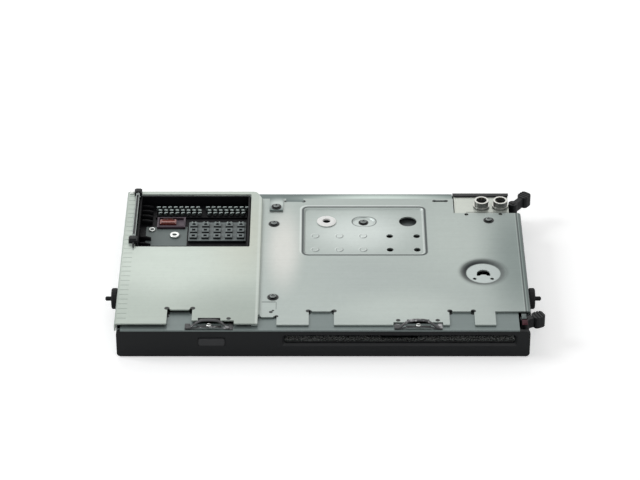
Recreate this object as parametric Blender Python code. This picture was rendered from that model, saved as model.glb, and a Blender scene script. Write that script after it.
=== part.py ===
"""Slim in-dash slot-loading disc player, lying flat: large sheet-metal face up, slot towards -Y.

Metres, +Z up. The origin is the centre of the bottom face. The case is sized from the disc that it
has to swallow, and every piece inside follows the disc's centre or the case's walls.
"""
import math

import bmesh
import bpy
from mathutils import Matrix, Vector

# Driving dimensions
DISC_DIAMETER = 0.120
PATH_ROOM = 0.002          # free room beside the disc, each side
CONNECTOR_BAY = 0.0778     # from the left edge to the step between the two covers
STEP_TO_PATH = 0.0132      # from that step to the disc's path
PATH_TO_RIGHT = 0.0090     # from the path to the right edge
DISC_TO_NEAR = 0.0105      # from the loaded disc to the near edge
DISC_TO_FAR = 0.0045       # from the loaded disc to the far edge
SHEET = 0.0008             # steel sheet of the case
CLEARANCE = 0.0003         # gap between two pieces that seat on each other
OVERRUN = 0.0050           # how far a cutter runs past what it cuts

# Levels, from the bottom sheet up
DECK_LEVEL = 0.0024        # underside of the mechanism's deck
PATH_LOW = 0.0085          # underside of the disc's clear path
PATH_HEIGHT = 0.0044
GUIDE_ROOM = 0.0041        # from the top of the path to the rails

# Worked out from the values above
PATH_WIDTH = DISC_DIAMETER + 2 * PATH_ROOM
CASE_WIDTH = CONNECTOR_BAY + STEP_TO_PATH + PATH_WIDTH + PATH_TO_RIGHT
CASE_DEPTH = DISC_TO_NEAR + DISC_DIAMETER + DISC_TO_FAR
DISC_RADIUS = DISC_DIAMETER / 2
LEFT = -CASE_WIDTH / 2
RIGHT = CASE_WIDTH / 2
NEAR = -CASE_DEPTH / 2
FAR = CASE_DEPTH / 2
STEP = LEFT + CONNECTOR_BAY
PATH_LEFT = STEP + STEP_TO_PATH
PATH_RIGHT = PATH_LEFT + PATH_WIDTH
DISC_X = (PATH_LEFT + PATH_RIGHT) / 2
DISC_Y = NEAR + DISC_TO_NEAR + DISC_RADIUS
FACE_WIDTH = RIGHT - STEP
PATH_HIGH = PATH_LOW + PATH_HEIGHT
RAIL_LOW = PATH_HIGH + GUIDE_ROOM
RAIL_HIGH = RAIL_LOW + SHEET
RIGHT_COVER_LOW = RAIL_HIGH + CLEARANCE
RIGHT_COVER_HIGH = RIGHT_COVER_LOW + SHEET
LEFT_COVER_LOW = RIGHT_COVER_HIGH + CLEARANCE
LEFT_COVER_HIGH = LEFT_COVER_LOW + SHEET
TRAY_TOP = RAIL_LOW - CLEARANCE
FLOOR = SHEET + CLEARANCE
BORE_SIDES = 10
ROUND_SIDES = 20
ARC_STEPS = 3
SMOOTH_ANGLE = math.radians(35)
MERGE_DISTANCE = 0.000001


# Materials: base colour, roughness, metallic
FINISHES = {
    "pale_steel": ((0.66, 0.70, 0.67), 0.42, 0.55),
    "grey_steel": ((0.56, 0.60, 0.59), 0.42, 0.55),
    "dark_steel": ((0.33, 0.38, 0.39), 0.45, 0.55),
    "spring_steel": ((0.16, 0.16, 0.17), 0.40, 0.60),
    "bright_steel": ((0.72, 0.73, 0.73), 0.28, 0.85),
    "tin_plate": ((0.72, 0.74, 0.70), 0.30, 0.80),
    "black_plastic": ((0.022, 0.022, 0.025), 0.50, 0.0),
    "grey_plastic": ((0.30, 0.31, 0.33), 0.55, 0.0),
    "white_plastic": ((0.80, 0.80, 0.78), 0.50, 0.0),
    "purple_plastic": ((0.42, 0.36, 0.42), 0.50, 0.0),
    "red_plastic": ((0.55, 0.05, 0.03), 0.35, 0.0),
    "black_rubber": ((0.018, 0.018, 0.018), 0.80, 0.0),
    "black_felt": ((0.012, 0.012, 0.014), 0.95, 0.0),
    "green_board": ((0.03, 0.13, 0.06), 0.45, 0.0),
    "gold_contact": ((0.80, 0.62, 0.30), 0.30, 0.9),
    "clear_lens": ((0.55, 0.62, 0.80), 0.10, 0.0),
}


def finish_material(node_name, finish):
    """A material of the node's own, with the finish's colour, roughness and metallic value."""
    colour, roughness, metallic = FINISHES[finish]
    material = bpy.data.materials.new(node_name + "_" + finish)
    material.use_nodes = True
    shader = material.node_tree.nodes["Principled BSDF"]
    shader.inputs["Base Color"].default_value = (*colour, 1.0)
    shader.inputs["Roughness"].default_value = roughness
    shader.inputs["Metallic"].default_value = metallic
    material.diffuse_color = (*colour, 1.0)
    return material


# Outlines, as lists of two coordinates
def rectangle(low_u, high_u, low_v, high_v):
    return [(low_u, low_v), (high_u, low_v), (high_u, high_v), (low_u, high_v)]


def ellipse(centre_u, centre_v, radius_u, radius_v=None, sides=BORE_SIDES, turn=0.0):
    radius_v = radius_u if radius_v is None else radius_v
    points = []
    for step in range(sides):
        angle = turn + 2 * math.pi * step / sides
        points.append((centre_u + radius_u * math.cos(angle), centre_v + radius_v * math.sin(angle)))
    return points


def rounded(points, radii):
    """The outline with each corner replaced by an arc. radii is one radius, or one for each corner."""
    if not isinstance(radii, (list, tuple)):
        radii = [radii] * len(points)
    outline = []
    for index, corner in enumerate(points):
        radius = radii[index]
        here = Vector(corner)
        back = Vector(points[index - 1]) - here
        ahead = Vector(points[(index + 1) % len(points)]) - here
        if radius <= 0:
            outline.append(corner)
            continue
        half = back.angle(ahead) / 2
        reach = min(radius / math.tan(half), back.length / 2, ahead.length / 2)
        radius = reach * math.tan(half)
        middle = here + (back.normalized() + ahead.normalized()).normalized() * (radius / math.sin(half))
        start = here + back.normalized() * reach - middle
        end = here + ahead.normalized() * reach - middle
        sweep = start.angle_signed(end)
        for step in range(ARC_STEPS + 1):
            # angle_signed is clockwise positive, so the turn is taken with its sign reversed
            turned = Matrix.Rotation(-sweep * step / ARC_STEPS, 2) @ start
            outline.append(tuple(middle + turned))
    return outline


class Solid:
    """A mesh under construction: each call adds one closed shape."""

    def __init__(self):
        self.mesh = bmesh.new()

    def place(self, axis, u, v, w):
        """A point whose u and v lie in the plane across the axis and whose w lies along it."""
        if axis == "X":
            return w, u, v
        if axis == "Y":
            return u, w, v
        return u, v, w

    def prism(self, outline, low, high, axis="Z", top=None):
        """The outline extruded from low to high, to the outline top if that is given."""
        bottom = [self.mesh.verts.new(self.place(axis, u, v, low)) for u, v in outline]
        face = self.mesh.faces.new(bottom)
        extruded = bmesh.ops.extrude_face_region(self.mesh, geom=[face])
        raised = [item for item in extruded["geom"] if isinstance(item, bmesh.types.BMVert)]
        shift = Vector(self.place(axis, 0, 0, high - low))
        bmesh.ops.translate(self.mesh, verts=raised, vec=shift)
        if top is not None:
            # the raised points are matched to the outline by their place, not by their order
            ends = {index: Vector(self.place(axis, *outline[index], high)) for index in range(len(outline))}
            targets = {}
            for vert in raised:
                nearest = min(ends, key=lambda index: (ends[index] - vert.co).length)
                targets[vert] = self.place(axis, *top[nearest], high)
            for vert, target in targets.items():
                vert.co = target
        return self

    def box(self, low_x, high_x, low_y, high_y, low_z, high_z):
        return self.prism(rectangle(low_x, high_x, low_y, high_y), low_z, high_z)

    def turned(self, profile, centre_u, centre_v, axis="Z", sides=ROUND_SIDES):
        """A closed profile of (radius, place along the axis) spun round the axis."""
        start = [self.mesh.verts.new(self.place(axis, centre_u + radius, centre_v, height))
                 for radius, height in profile]
        edges = [self.mesh.edges.new((start[index - 1], start[index])) for index in range(len(start))]
        bmesh.ops.spin(self.mesh, geom=start + edges, cent=self.place(axis, centre_u, centre_v, 0),
                       axis=self.place(axis, 0, 0, 1), angle=2 * math.pi, steps=sides,
                       use_merge=True, use_duplicate=False)
        bmesh.ops.remove_doubles(self.mesh, verts=self.mesh.verts[:], dist=MERGE_DISTANCE)
        on_axis = [edge for edge in self.mesh.edges if not edge.link_faces]
        bmesh.ops.delete(self.mesh, geom=on_axis, context="EDGES")
        return self

    def cylinder(self, centre_u, centre_v, radius, low, high, axis="Z", sides=ROUND_SIDES):
        return self.prism(ellipse(centre_u, centre_v, radius, sides=sides), low, high, axis)


def mesh_object(name, solid):
    """An object of the solid's mesh, with its faces pointing out."""
    bmesh.ops.recalc_face_normals(solid.mesh, faces=solid.mesh.faces[:])
    mesh = bpy.data.meshes.new(name)
    solid.mesh.to_mesh(mesh)
    solid.mesh.free()
    piece = bpy.data.objects.new(name, mesh)
    bpy.context.scene.collection.objects.link(piece)
    return piece


def node(name, solid, finish):
    """One sub-part: a named object with its own material."""
    piece = mesh_object(name, solid)
    piece.data.materials.append(finish_material(name, finish))
    piece.data.shade_smooth()
    piece.data.set_sharp_from_angle(angle=SMOOTH_ANGLE)
    return piece


def combine(piece, solid, operation):
    """Cuts the solid from the piece, or joins it to the piece."""
    tool = mesh_object(piece.name + "_" + operation.lower() + "_tool", solid)
    tool.hide_render = True
    tool.display_type = "WIRE"
    modifier = piece.modifiers.new(operation.title(), "BOOLEAN")
    modifier.operation = operation
    modifier.object = tool
    return piece


def cut(piece, solid):
    return combine(piece, solid, "DIFFERENCE")


def join(piece, solid):
    return combine(piece, solid, "UNION")


def pivot(name, place, pieces):
    """An empty on a joint's axis that carries the pieces that move with it."""
    empty = bpy.data.objects.new(name, None)
    empty.location = place
    bpy.context.scene.collection.objects.link(empty)
    for piece in pieces:
        piece.parent = empty
        piece.matrix_parent_inverse = Matrix.Translation(Vector(place)).inverted()
    return empty


# Places on the face, as shares of the bay that carries them
def left_x(share):
    return LEFT + CONNECTOR_BAY * share


def face_x(share):
    return STEP + FACE_WIDTH * share


def depth_y(share):
    return CASE_DEPTH * share


# Case: notches in the covers' near edge, through which the rail's tabs show
NOTCH_WIDTH = 0.0135
NOTCH_DEPTH = 0.0125       # from the covers' near edge to the notch's far side
NARROW_NOTCH_WIDTH = 0.0101
NARROW_NOTCH_DEPTH = 0.0072
RELIEF_RADIUS = 0.0009     # round relief at a notch's inner corners
NEAR_STRIP = 0.0037        # strip of the rail that shows in front of the right cover
LEFT_NEAR_STRIP = 0.0032
FAR_STRIP = 0.0064
LEFT_FAR_STRIP = 0.0006
COVER_LAP = 0.0043         # how far the right cover runs on under the left one
LEFT_NOTCH_SHARE = 0.447
STEP_NOTCH_SHARE = 0.028
NOTCH_SHARES = (0.227, 0.744)
CORNER_NOTCH = 0.0194      # width of the near right corner that the cover leaves open
COVER_NEAR = NEAR + NEAR_STRIP
LEFT_COVER_NEAR = NEAR + LEFT_NEAR_STRIP
COVER_FAR = FAR - FAR_STRIP
LEFT_COVER_FAR = FAR - LEFT_FAR_STRIP
NOTCH_FAR = COVER_NEAR + NOTCH_DEPTH
STEP_NOTCH_FAR = COVER_NEAR + NARROW_NOTCH_DEPTH

# Case: the corners that are left open for the clips
CORNER_FLOOR = 0.0107      # height of the tray's walls in the two clip corners
NEAR_CORNER_WIDTH = 0.0066
NEAR_CORNER_X = RIGHT - NEAR_CORNER_WIDTH
SKIRT = 0.0040             # height of the covers' turned-down sides
BEND_RADIUS = 0.0014

# Case: connector recess in the left cover
RECESS_LEFT_MARGIN = 0.0070
RECESS_RIGHT_MARGIN = 0.0068
RECESS_FAR_MARGIN = 0.0035
RECESS_DEPTH = 0.0540      # along Y
RECESS_LEFT = LEFT + RECESS_LEFT_MARGIN
RECESS_RIGHT = STEP - RECESS_RIGHT_MARGIN
RECESS_FAR = FAR - RECESS_FAR_MARGIN
RECESS_NEAR = RECESS_FAR - RECESS_DEPTH

# Leaf springs on the near edge
SPRING_WIDTH = 0.0260
SPRING_FOOT = 0.0032
SPRING_SHEET = 0.0005
SPRING_RISE = 0.0034
SPRING_DEPTH = 0.0056
SPRING_INSET = 0.0002
SPRING_CROWN_SHARE = 0.34  # flat middle, as a share of the arch
SPRING_GAP_SHARE = 0.46    # deeper middle of the cover's cut-out, as a share of the spring
SPRING_GAP_DEPTH = 0.0018
LEFT_SPRING_SHARE = 0.654
RIGHT_SPRING_SHARE = 0.582
RIVET_RADIUS = 0.0010
RIVET_HEAD = 0.0005
LEFT_SPRING_X = left_x(LEFT_SPRING_SHARE)
RIGHT_SPRING_X = face_x(RIGHT_SPRING_SHARE)
SPRING_NEAR = NEAR + SPRING_INSET
SPRING_FAR = SPRING_NEAR + SPRING_DEPTH
SPRING_SLOT_FAR = SPRING_FAR + CLEARANCE

# Slot and button in the near wall
BEZEL_SHEET = 0.0019
BEZEL_SETBACK = 0.0006     # front of the bezel behind the rail's edge
BEZEL_RADIUS = 0.0020
BEZEL_NEAR = NEAR + BEZEL_SETBACK
BEZEL_FAR = BEZEL_NEAR + BEZEL_SHEET
TRAY_NEAR = BEZEL_FAR + CLEARANCE
TRAY_NEAR_INSIDE = TRAY_NEAR + SHEET
SLOT_FLARE = 0.0011
SLOT_RADIUS = 0.0011
LIP_THICKNESS = 0.0011
LIP_ROOM = 0.0002          # from the path to the felt
BUTTON_SHARE = 0.670       # place along the connector bay
BUTTON_WIDTH = 0.0140
BUTTON_HEIGHT = 0.0044
BUTTON_FLANGE = 0.0010
BUTTON_TRAVEL = 0.0008
BUTTON_LEVEL = 0.0100
FLANGE_SHEET = 0.0008
POCKET_DEPTH = 0.0012
STEM_WIDTH = 0.0040
STEM_HEIGHT = 0.0030
STEM_LENGTH = 0.0011
BUTTON_X = left_x(BUTTON_SHARE)

# Side bosses
BOSS_RADIUS = 0.0058
BOSS_DEPTH = 0.0035
BOSS_EDGE = 0.0006
BOSS_PIN_RADIUS = 0.0012
BOSS_PIN_LENGTH = 0.0035
BOSS_SHANK_RADIUS = 0.0025
BOSS_LEVEL = 0.0100
BOSS_Y_SHARE = -0.1955

# Antenna corner
ANTENNA_LEFT_SHARE = 0.7408
ANTENNA_NEAR_SHARE = 0.3407
FAR_CORNER_WIDTH = 0.0062

ANTENNA_LEFT = face_x(ANTENNA_LEFT_SHARE)
ANTENNA_NEAR = depth_y(ANTENNA_NEAR_SHARE)
FAR_CORNER_X = RIGHT - FAR_CORNER_WIDTH
WALL_X = CASE_WIDTH / 2 - SHEET - CLEARANCE
INSIDE_X = WALL_X - SHEET
FAR_INSIDE = FAR - SHEET


def build_tray():
    """Folded pan: bottom and four walls, with the slot and button windows in the near wall."""
    radius = BEND_RADIUS
    tray = node("chassis_tray", Solid().prism(
        rounded(rectangle(-WALL_X, WALL_X, TRAY_NEAR, FAR), radius), 0, TRAY_TOP), "dark_steel")
    inner = radius - SHEET
    cut(tray, Solid().prism(rounded(rectangle(-INSIDE_X, INSIDE_X, TRAY_NEAR_INSIDE, FAR_INSIDE), inner),
                            SHEET, TRAY_TOP + OVERRUN))
    windows = Solid()
    lip_room = LIP_ROOM + LIP_THICKNESS + CLEARANCE
    windows.box(PATH_LEFT - lip_room, PATH_RIGHT + lip_room, TRAY_NEAR - CLEARANCE,
                TRAY_NEAR_INSIDE + OVERRUN, PATH_LOW - lip_room, PATH_HIGH + lip_room)
    half = BUTTON_WIDTH / 2 + BUTTON_FLANGE + CLEARANCE
    rise = BUTTON_HEIGHT / 2 + BUTTON_FLANGE + CLEARANCE
    windows.box(BUTTON_X - half, BUTTON_X + half, TRAY_NEAR - CLEARANCE, TRAY_NEAR_INSIDE + OVERRUN,
                BUTTON_LEVEL - rise, BUTTON_LEVEL + rise)
    windows.box(NEAR_CORNER_X, RIGHT + OVERRUN, NEAR - OVERRUN, NOTCH_FAR, CORNER_FLOOR,
                TRAY_TOP + OVERRUN)
    windows.box(FAR_CORNER_X, RIGHT + OVERRUN, ANTENNA_NEAR, FAR + OVERRUN, CORNER_FLOOR,
                TRAY_TOP + OVERRUN)
    cut(tray, windows)
    cut(tray, far_wall_vents())
    standoffs = Solid()
    for x in (BOARD_LEFT + STANDOFF_INSET, BOARD_RIGHT - STANDOFF_INSET):
        for y in (BOARD_NEAR + STANDOFF_INSET, BOARD_FAR - STANDOFF_INSET):
            standoffs.cylinder(x, y, STANDOFF_RADIUS, SHEET / 2, BOARD_LOW - CLEARANCE, sides=BORE_SIDES)
    join(tray, standoffs)
    return tray


VENT_COUNT = 9
VENT_PITCH = 0.0060
VENT_WIDTH = 0.0022
VENT_HEIGHT = 0.0080
VENT_LEVEL = 0.0070


def far_wall_vents():
    """A row of upright slots in the far wall, behind the warm end of the connector bay."""
    vents = Solid()
    first = (LEFT + STEP) / 2 - VENT_PITCH * (VENT_COUNT - 1) / 2
    for index in range(VENT_COUNT):
        middle = first + index * VENT_PITCH
        outline = rounded(rectangle(middle - VENT_WIDTH / 2, middle + VENT_WIDTH / 2,
                                    VENT_LEVEL - VENT_HEIGHT / 2, VENT_LEVEL + VENT_HEIGHT / 2),
                          VENT_WIDTH / 2)
        vents.prism(outline, FAR_INSIDE - OVERRUN, FAR + OVERRUN, "Y")
    return vents


def notch(solid, left, right, near, far, low, high):
    """A notch from the near edge with a round relief at each inner corner."""
    outline = [(left, near), (right, near)]
    for corner in (right - RELIEF_RADIUS, left + RELIEF_RADIUS):
        for step in range(2 * ARC_STEPS + 1):
            angle = math.pi * step / (2 * ARC_STEPS)
            outline.append((corner + RELIEF_RADIUS * math.cos(angle), far + RELIEF_RADIUS * math.sin(angle)))
    return solid.prism(outline, low, high)


def spring_slot(solid, middle, low, high):
    """The cover's cut-out round a leaf spring, deeper in its middle."""
    half = SPRING_WIDTH / 2 + CLEARANCE
    gap = SPRING_WIDTH * SPRING_GAP_SHARE / 2
    deep = SPRING_SLOT_FAR + SPRING_GAP_DEPTH
    outline = [(middle - half, NEAR - OVERRUN), (middle + half, NEAR - OVERRUN),
               (middle + half, SPRING_SLOT_FAR), (middle + gap, SPRING_SLOT_FAR), (middle + gap, deep),
               (middle - gap, deep), (middle - gap, SPRING_SLOT_FAR), (middle - half, SPRING_SLOT_FAR)]
    return solid.prism(outline, low, high)


COMB_COUNT = 28
COMB_LENGTH = 0.0050
COMB_WIDTH = 0.0014
COMB_DEPTH = 0.0003
COMB_INSET = 0.0012
CORNER_RADIUS = 0.0060
STEP_FAR_SHARE = 0.4333
COVER_SCREW_BORE = 0.0018
LEFT_NOTCH_X = left_x(LEFT_NOTCH_SHARE)
STEP_NOTCH_X = face_x(STEP_NOTCH_SHARE)


def comb_grooves():
    """Short stamped grooves across the left margin, evenly from end to end."""
    grooves = Solid()
    near = LEFT_COVER_NEAR + COMB_LENGTH
    pitch = (LEFT_COVER_FAR - COMB_LENGTH - near) / (COMB_COUNT - 1)
    for index in range(COMB_COUNT):
        middle = near + index * pitch
        left = LEFT + COMB_INSET
        profile = [(middle - COMB_WIDTH / 2, LEFT_COVER_HIGH + COMB_DEPTH),
                   (middle, LEFT_COVER_HIGH - COMB_DEPTH),
                   (middle + COMB_WIDTH / 2, LEFT_COVER_HIGH + COMB_DEPTH)]
        grooves.prism(profile, left, left + COMB_LENGTH, "X")
    return grooves


def build_left_cover():
    """Connector-side cover: plate with a turned-down left side and the connector cut-out."""
    low, high = LEFT_COVER_LOW, LEFT_COVER_HIGH
    step_far = depth_y(STEP_FAR_SHARE)
    outline = rounded([(LEFT, LEFT_COVER_NEAR), (STEP, LEFT_COVER_NEAR), (STEP, step_far),
                       (RECESS_RIGHT + CORNER_RADIUS / 2, LEFT_COVER_FAR), (LEFT, LEFT_COVER_FAR)],
                      [0, 0, CORNER_RADIUS, CORNER_RADIUS / 2, 0])
    cover = node("left_cover", Solid().prism(outline, low, high), "pale_steel")
    skirt = rounded([(LEFT, low - SKIRT), (LEFT + SHEET, low - SKIRT), (LEFT + SHEET, low),
                     (LEFT + 2 * SHEET, low), (LEFT + 2 * SHEET, high), (LEFT, high)],
                    [0, 0, 0, 0, 0, 0])
    join(cover, Solid().prism(skirt, LEFT_COVER_NEAR, LEFT_COVER_FAR, "Y"))
    edge = [(LEFT - OVERRUN, high + OVERRUN), (LEFT + BEND_RADIUS, high + OVERRUN)]
    edge += [(LEFT + BEND_RADIUS * (1 - math.sin(angle)), high - BEND_RADIUS * (1 - math.cos(angle)))
             for angle in (math.pi / 2 * step / ARC_STEPS for step in range(ARC_STEPS + 1))]
    edge += [(LEFT - OVERRUN, high - BEND_RADIUS)]
    cut(cover, Solid().prism(edge, NEAR - OVERRUN, FAR + OVERRUN, "Y"))
    openings = Solid()
    recess = rounded(rectangle(RECESS_LEFT, RECESS_RIGHT, RECESS_NEAR, RECESS_FAR), RELIEF_RADIUS)
    openings.prism(recess, low - OVERRUN, high + OVERRUN)
    notch(openings, LEFT_NOTCH_X - NOTCH_WIDTH / 2, LEFT_NOTCH_X + NOTCH_WIDTH / 2, NEAR - OVERRUN,
          NOTCH_FAR, low - SHEET, high + OVERRUN)
    notch(openings, STEP_NOTCH_X - NARROW_NOTCH_WIDTH / 2, STEP_NOTCH_X + NARROW_NOTCH_WIDTH / 2,
          NEAR - OVERRUN, STEP_NOTCH_FAR, low - SHEET, high + OVERRUN)
    cut(cover, openings)
    cut(cover, spring_slot(Solid(), LEFT_SPRING_X, low - SHEET, high + OVERRUN))
    cut(cover, comb_grooves())
    return cover


# Pressed panel and dish of the right cover
PANEL_LEFT_SHARE = 0.160
PANEL_RIGHT_SHARE = 0.6245
PANEL_NEAR_SHARE = 0.0281
PANEL_FAR_SHARE = 0.3815
PANEL_DEPTH = 0.0008
PANEL_RADIUS = 0.0030
DRAFT = 0.0008             # sideways run of a pressed wall
RING_BORE = 0.0034
RING_SHARES = (0.187, 0.715)          # across the panel, and from its near side to its far side
ADJUSTER_SHARES = (0.494, 0.723)
BIG_HOLE_SHARES = (0.863, 0.725)
BIG_HOLE_RADIUS = 0.0050
ADJUSTER_DISH_U = 0.0066
ADJUSTER_DISH_V = 0.0050
ADJUSTER_DISH_DEPTH = 0.0007
ADJUSTER_BORE = 0.0016
DIMPLE_COLUMN_SHARES = (0.095, 0.294, 0.491)
HOLE_COLUMN_SHARES = (0.708, 0.931)
ROW_SHARES = (0.411, 0.124)
DIMPLE_RADIUS = 0.0020
DIMPLE_RISE = 0.0003
HOLE_RADIUS = 0.00195
DISH_SHARES = (0.8365, -0.1007)
DISH_RADIUS = 0.01275
DISH_FLAT = 0.00925
DISH_DEPTH = 0.0010
DISH_HOLE = 0.0037
DISH_TAB_SHARE = 0.30
DISH_PIN_HOLE = 0.0009
DISH_PIN_SHARES = (0.52, 0.57)
SLIT_SHARES = (0.689, 0.4320)
SLIT_LENGTH = 0.0067
SLIT_WIDTH = 0.0012
FAR_NOTCH_SHARES = (0.089, 0.157)
FAR_NOTCH_DEPTH = 0.0034
COVER_SCREW_SHARES = ((0.0445, 0.2570), (0.0472, -0.2815), (0.8735, 0.2844))
BRACKET_HOLE_SHARES = ((0.7893, 0.3281), (0.9213, 0.3304))
BRACKET_HOLE = 0.0010
PANEL_LEFT = face_x(PANEL_LEFT_SHARE)
PANEL_RIGHT = face_x(PANEL_RIGHT_SHARE)
PANEL_NEAR = depth_y(PANEL_NEAR_SHARE)
PANEL_FAR = depth_y(PANEL_FAR_SHARE)
PANEL_TOP = RIGHT_COVER_HIGH - PANEL_DEPTH
PANEL_LOW = RIGHT_COVER_LOW - PANEL_DEPTH
DISH_X = face_x(DISH_SHARES[0])
DISH_Y = depth_y(DISH_SHARES[1])


def panel_place(shares):
    """A place in the pressed panel, from its shares across the panel."""
    return (PANEL_LEFT + (PANEL_RIGHT - PANEL_LEFT) * shares[0],
            PANEL_NEAR + (PANEL_FAR - PANEL_NEAR) * shares[1])


def face_place(shares):
    return face_x(shares[0]), depth_y(shares[1])


def pressed_panel(bottom, top, spread):
    """The panel's volume between two levels, wider at its floor by spread, with drafted walls."""
    run = DRAFT * (top - bottom) / PANEL_DEPTH
    floor, mouth = (rounded(rectangle(PANEL_LEFT + inset, PANEL_RIGHT - inset, PANEL_NEAR + inset,
                                      PANEL_FAR - inset), PANEL_RADIUS)
                    for inset in (DRAFT - spread, DRAFT - spread - run))
    return Solid().prism(floor, bottom, top, top=mouth)


def build_right_cover():
    """Disc-side cover: plate, turned-down right side, pressed panel, round dish and holes."""
    low, high = RIGHT_COVER_LOW, RIGHT_COVER_HIGH
    left = STEP - COVER_LAP
    corner_x = RIGHT - CORNER_NOTCH
    outline = [(left, COVER_NEAR), (corner_x, COVER_NEAR), (corner_x, NOTCH_FAR), (RIGHT, NOTCH_FAR),
               (RIGHT, ANTENNA_NEAR), (ANTENNA_LEFT, ANTENNA_NEAR), (ANTENNA_LEFT, COVER_FAR),
               (left, COVER_FAR)]
    cover = node("right_cover", Solid().prism(outline, low, high), "grey_steel")
    skirt = [(RIGHT, low - SKIRT), (RIGHT - SHEET, low - SKIRT), (RIGHT - SHEET, low),
             (RIGHT - 2 * SHEET, low), (RIGHT - 2 * SHEET, high), (RIGHT, high)]
    join(cover, Solid().prism(skirt, NOTCH_FAR, ANTENNA_NEAR, "Y"))
    join(cover, pressed_panel(PANEL_LOW, low + SHEET / 2, SHEET))
    dish_back = DISH_RADIUS + SHEET / 2
    join(cover, Solid().turned([(0, low - DISH_DEPTH), (DISH_FLAT + SHEET / 2, low - DISH_DEPTH),
                                (dish_back, low), (dish_back, low + SHEET / 2), (0, low + SHEET / 2)],
                               DISH_X, DISH_Y))
    adjuster_x, adjuster_y = panel_place(ADJUSTER_SHARES)
    back_u, back_v = ADJUSTER_DISH_U + SHEET / 2, ADJUSTER_DISH_V + SHEET / 2
    join(cover, Solid().prism(ellipse(adjuster_x, adjuster_y, back_u, back_v, ROUND_SIDES),
                              PANEL_LOW - ADJUSTER_DISH_DEPTH, PANEL_LOW + SHEET / 2))
    cut(cover, pressed_panel(PANEL_TOP, high + SHEET, 0))
    cut(cover, Solid().prism(
        ellipse(adjuster_x, adjuster_y, ADJUSTER_DISH_U - DRAFT, ADJUSTER_DISH_V - DRAFT, ROUND_SIDES),
        PANEL_TOP - ADJUSTER_DISH_DEPTH, PANEL_TOP + ADJUSTER_DISH_DEPTH,
        top=ellipse(adjuster_x, adjuster_y, ADJUSTER_DISH_U + DRAFT, ADJUSTER_DISH_V + DRAFT, ROUND_SIDES)))
    join(cover, panel_dimples())
    cut(cover, Solid().turned([(0, high - DISH_DEPTH), (DISH_FLAT, high - DISH_DEPTH), (DISH_RADIUS, high),
                               (DISH_RADIUS, high + OVERRUN), (0, high + OVERRUN)], DISH_X, DISH_Y))
    edge = [(RIGHT + OVERRUN, high + OVERRUN), (RIGHT - BEND_RADIUS, high + OVERRUN)]
    edge += [(RIGHT - BEND_RADIUS * (1 - math.sin(angle)), high - BEND_RADIUS * (1 - math.cos(angle)))
             for angle in (math.pi / 2 * step / ARC_STEPS for step in range(ARC_STEPS + 1))]
    edge += [(RIGHT + OVERRUN, high - BEND_RADIUS)]
    cut(cover, Solid().prism(edge, NEAR - OVERRUN, FAR + OVERRUN, "Y"))
    edge_cuts = Solid()
    for share in NOTCH_SHARES:
        middle = face_x(share)
        notch(edge_cuts, middle - NOTCH_WIDTH / 2, middle + NOTCH_WIDTH / 2, NEAR - OVERRUN,
              NOTCH_FAR, low - SHEET, high + OVERRUN)
    notch(edge_cuts, STEP_NOTCH_X - NARROW_NOTCH_WIDTH / 2, STEP_NOTCH_X + NARROW_NOTCH_WIDTH / 2,
          NEAR - OVERRUN, STEP_NOTCH_FAR, low - SHEET, high + OVERRUN)
    edge_cuts.box(face_x(FAR_NOTCH_SHARES[0]), face_x(FAR_NOTCH_SHARES[1]), COVER_FAR - FAR_NOTCH_DEPTH,
                  FAR + OVERRUN, low - SHEET, high + OVERRUN)
    spring_slot(edge_cuts, RIGHT_SPRING_X, low - SHEET, high + OVERRUN)
    cut(cover, edge_cuts)
    cut(cover, right_cover_holes(low, high))
    return cover


def panel_dimples():
    """Six low round dimples pressed up from the panel's floor."""
    dimples = Solid()
    for row in ROW_SHARES:
        for column in DIMPLE_COLUMN_SHARES:
            dimples.turned([(0, PANEL_TOP - SHEET / 2), (DIMPLE_RADIUS, PANEL_TOP - SHEET / 2),
                            (DIMPLE_RADIUS, PANEL_TOP),
                            (DIMPLE_RADIUS - DIMPLE_RISE, PANEL_TOP + DIMPLE_RISE),
                            (0, PANEL_TOP + DIMPLE_RISE)], *panel_place((column, row)), sides=BORE_SIDES)
    return dimples


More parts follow.
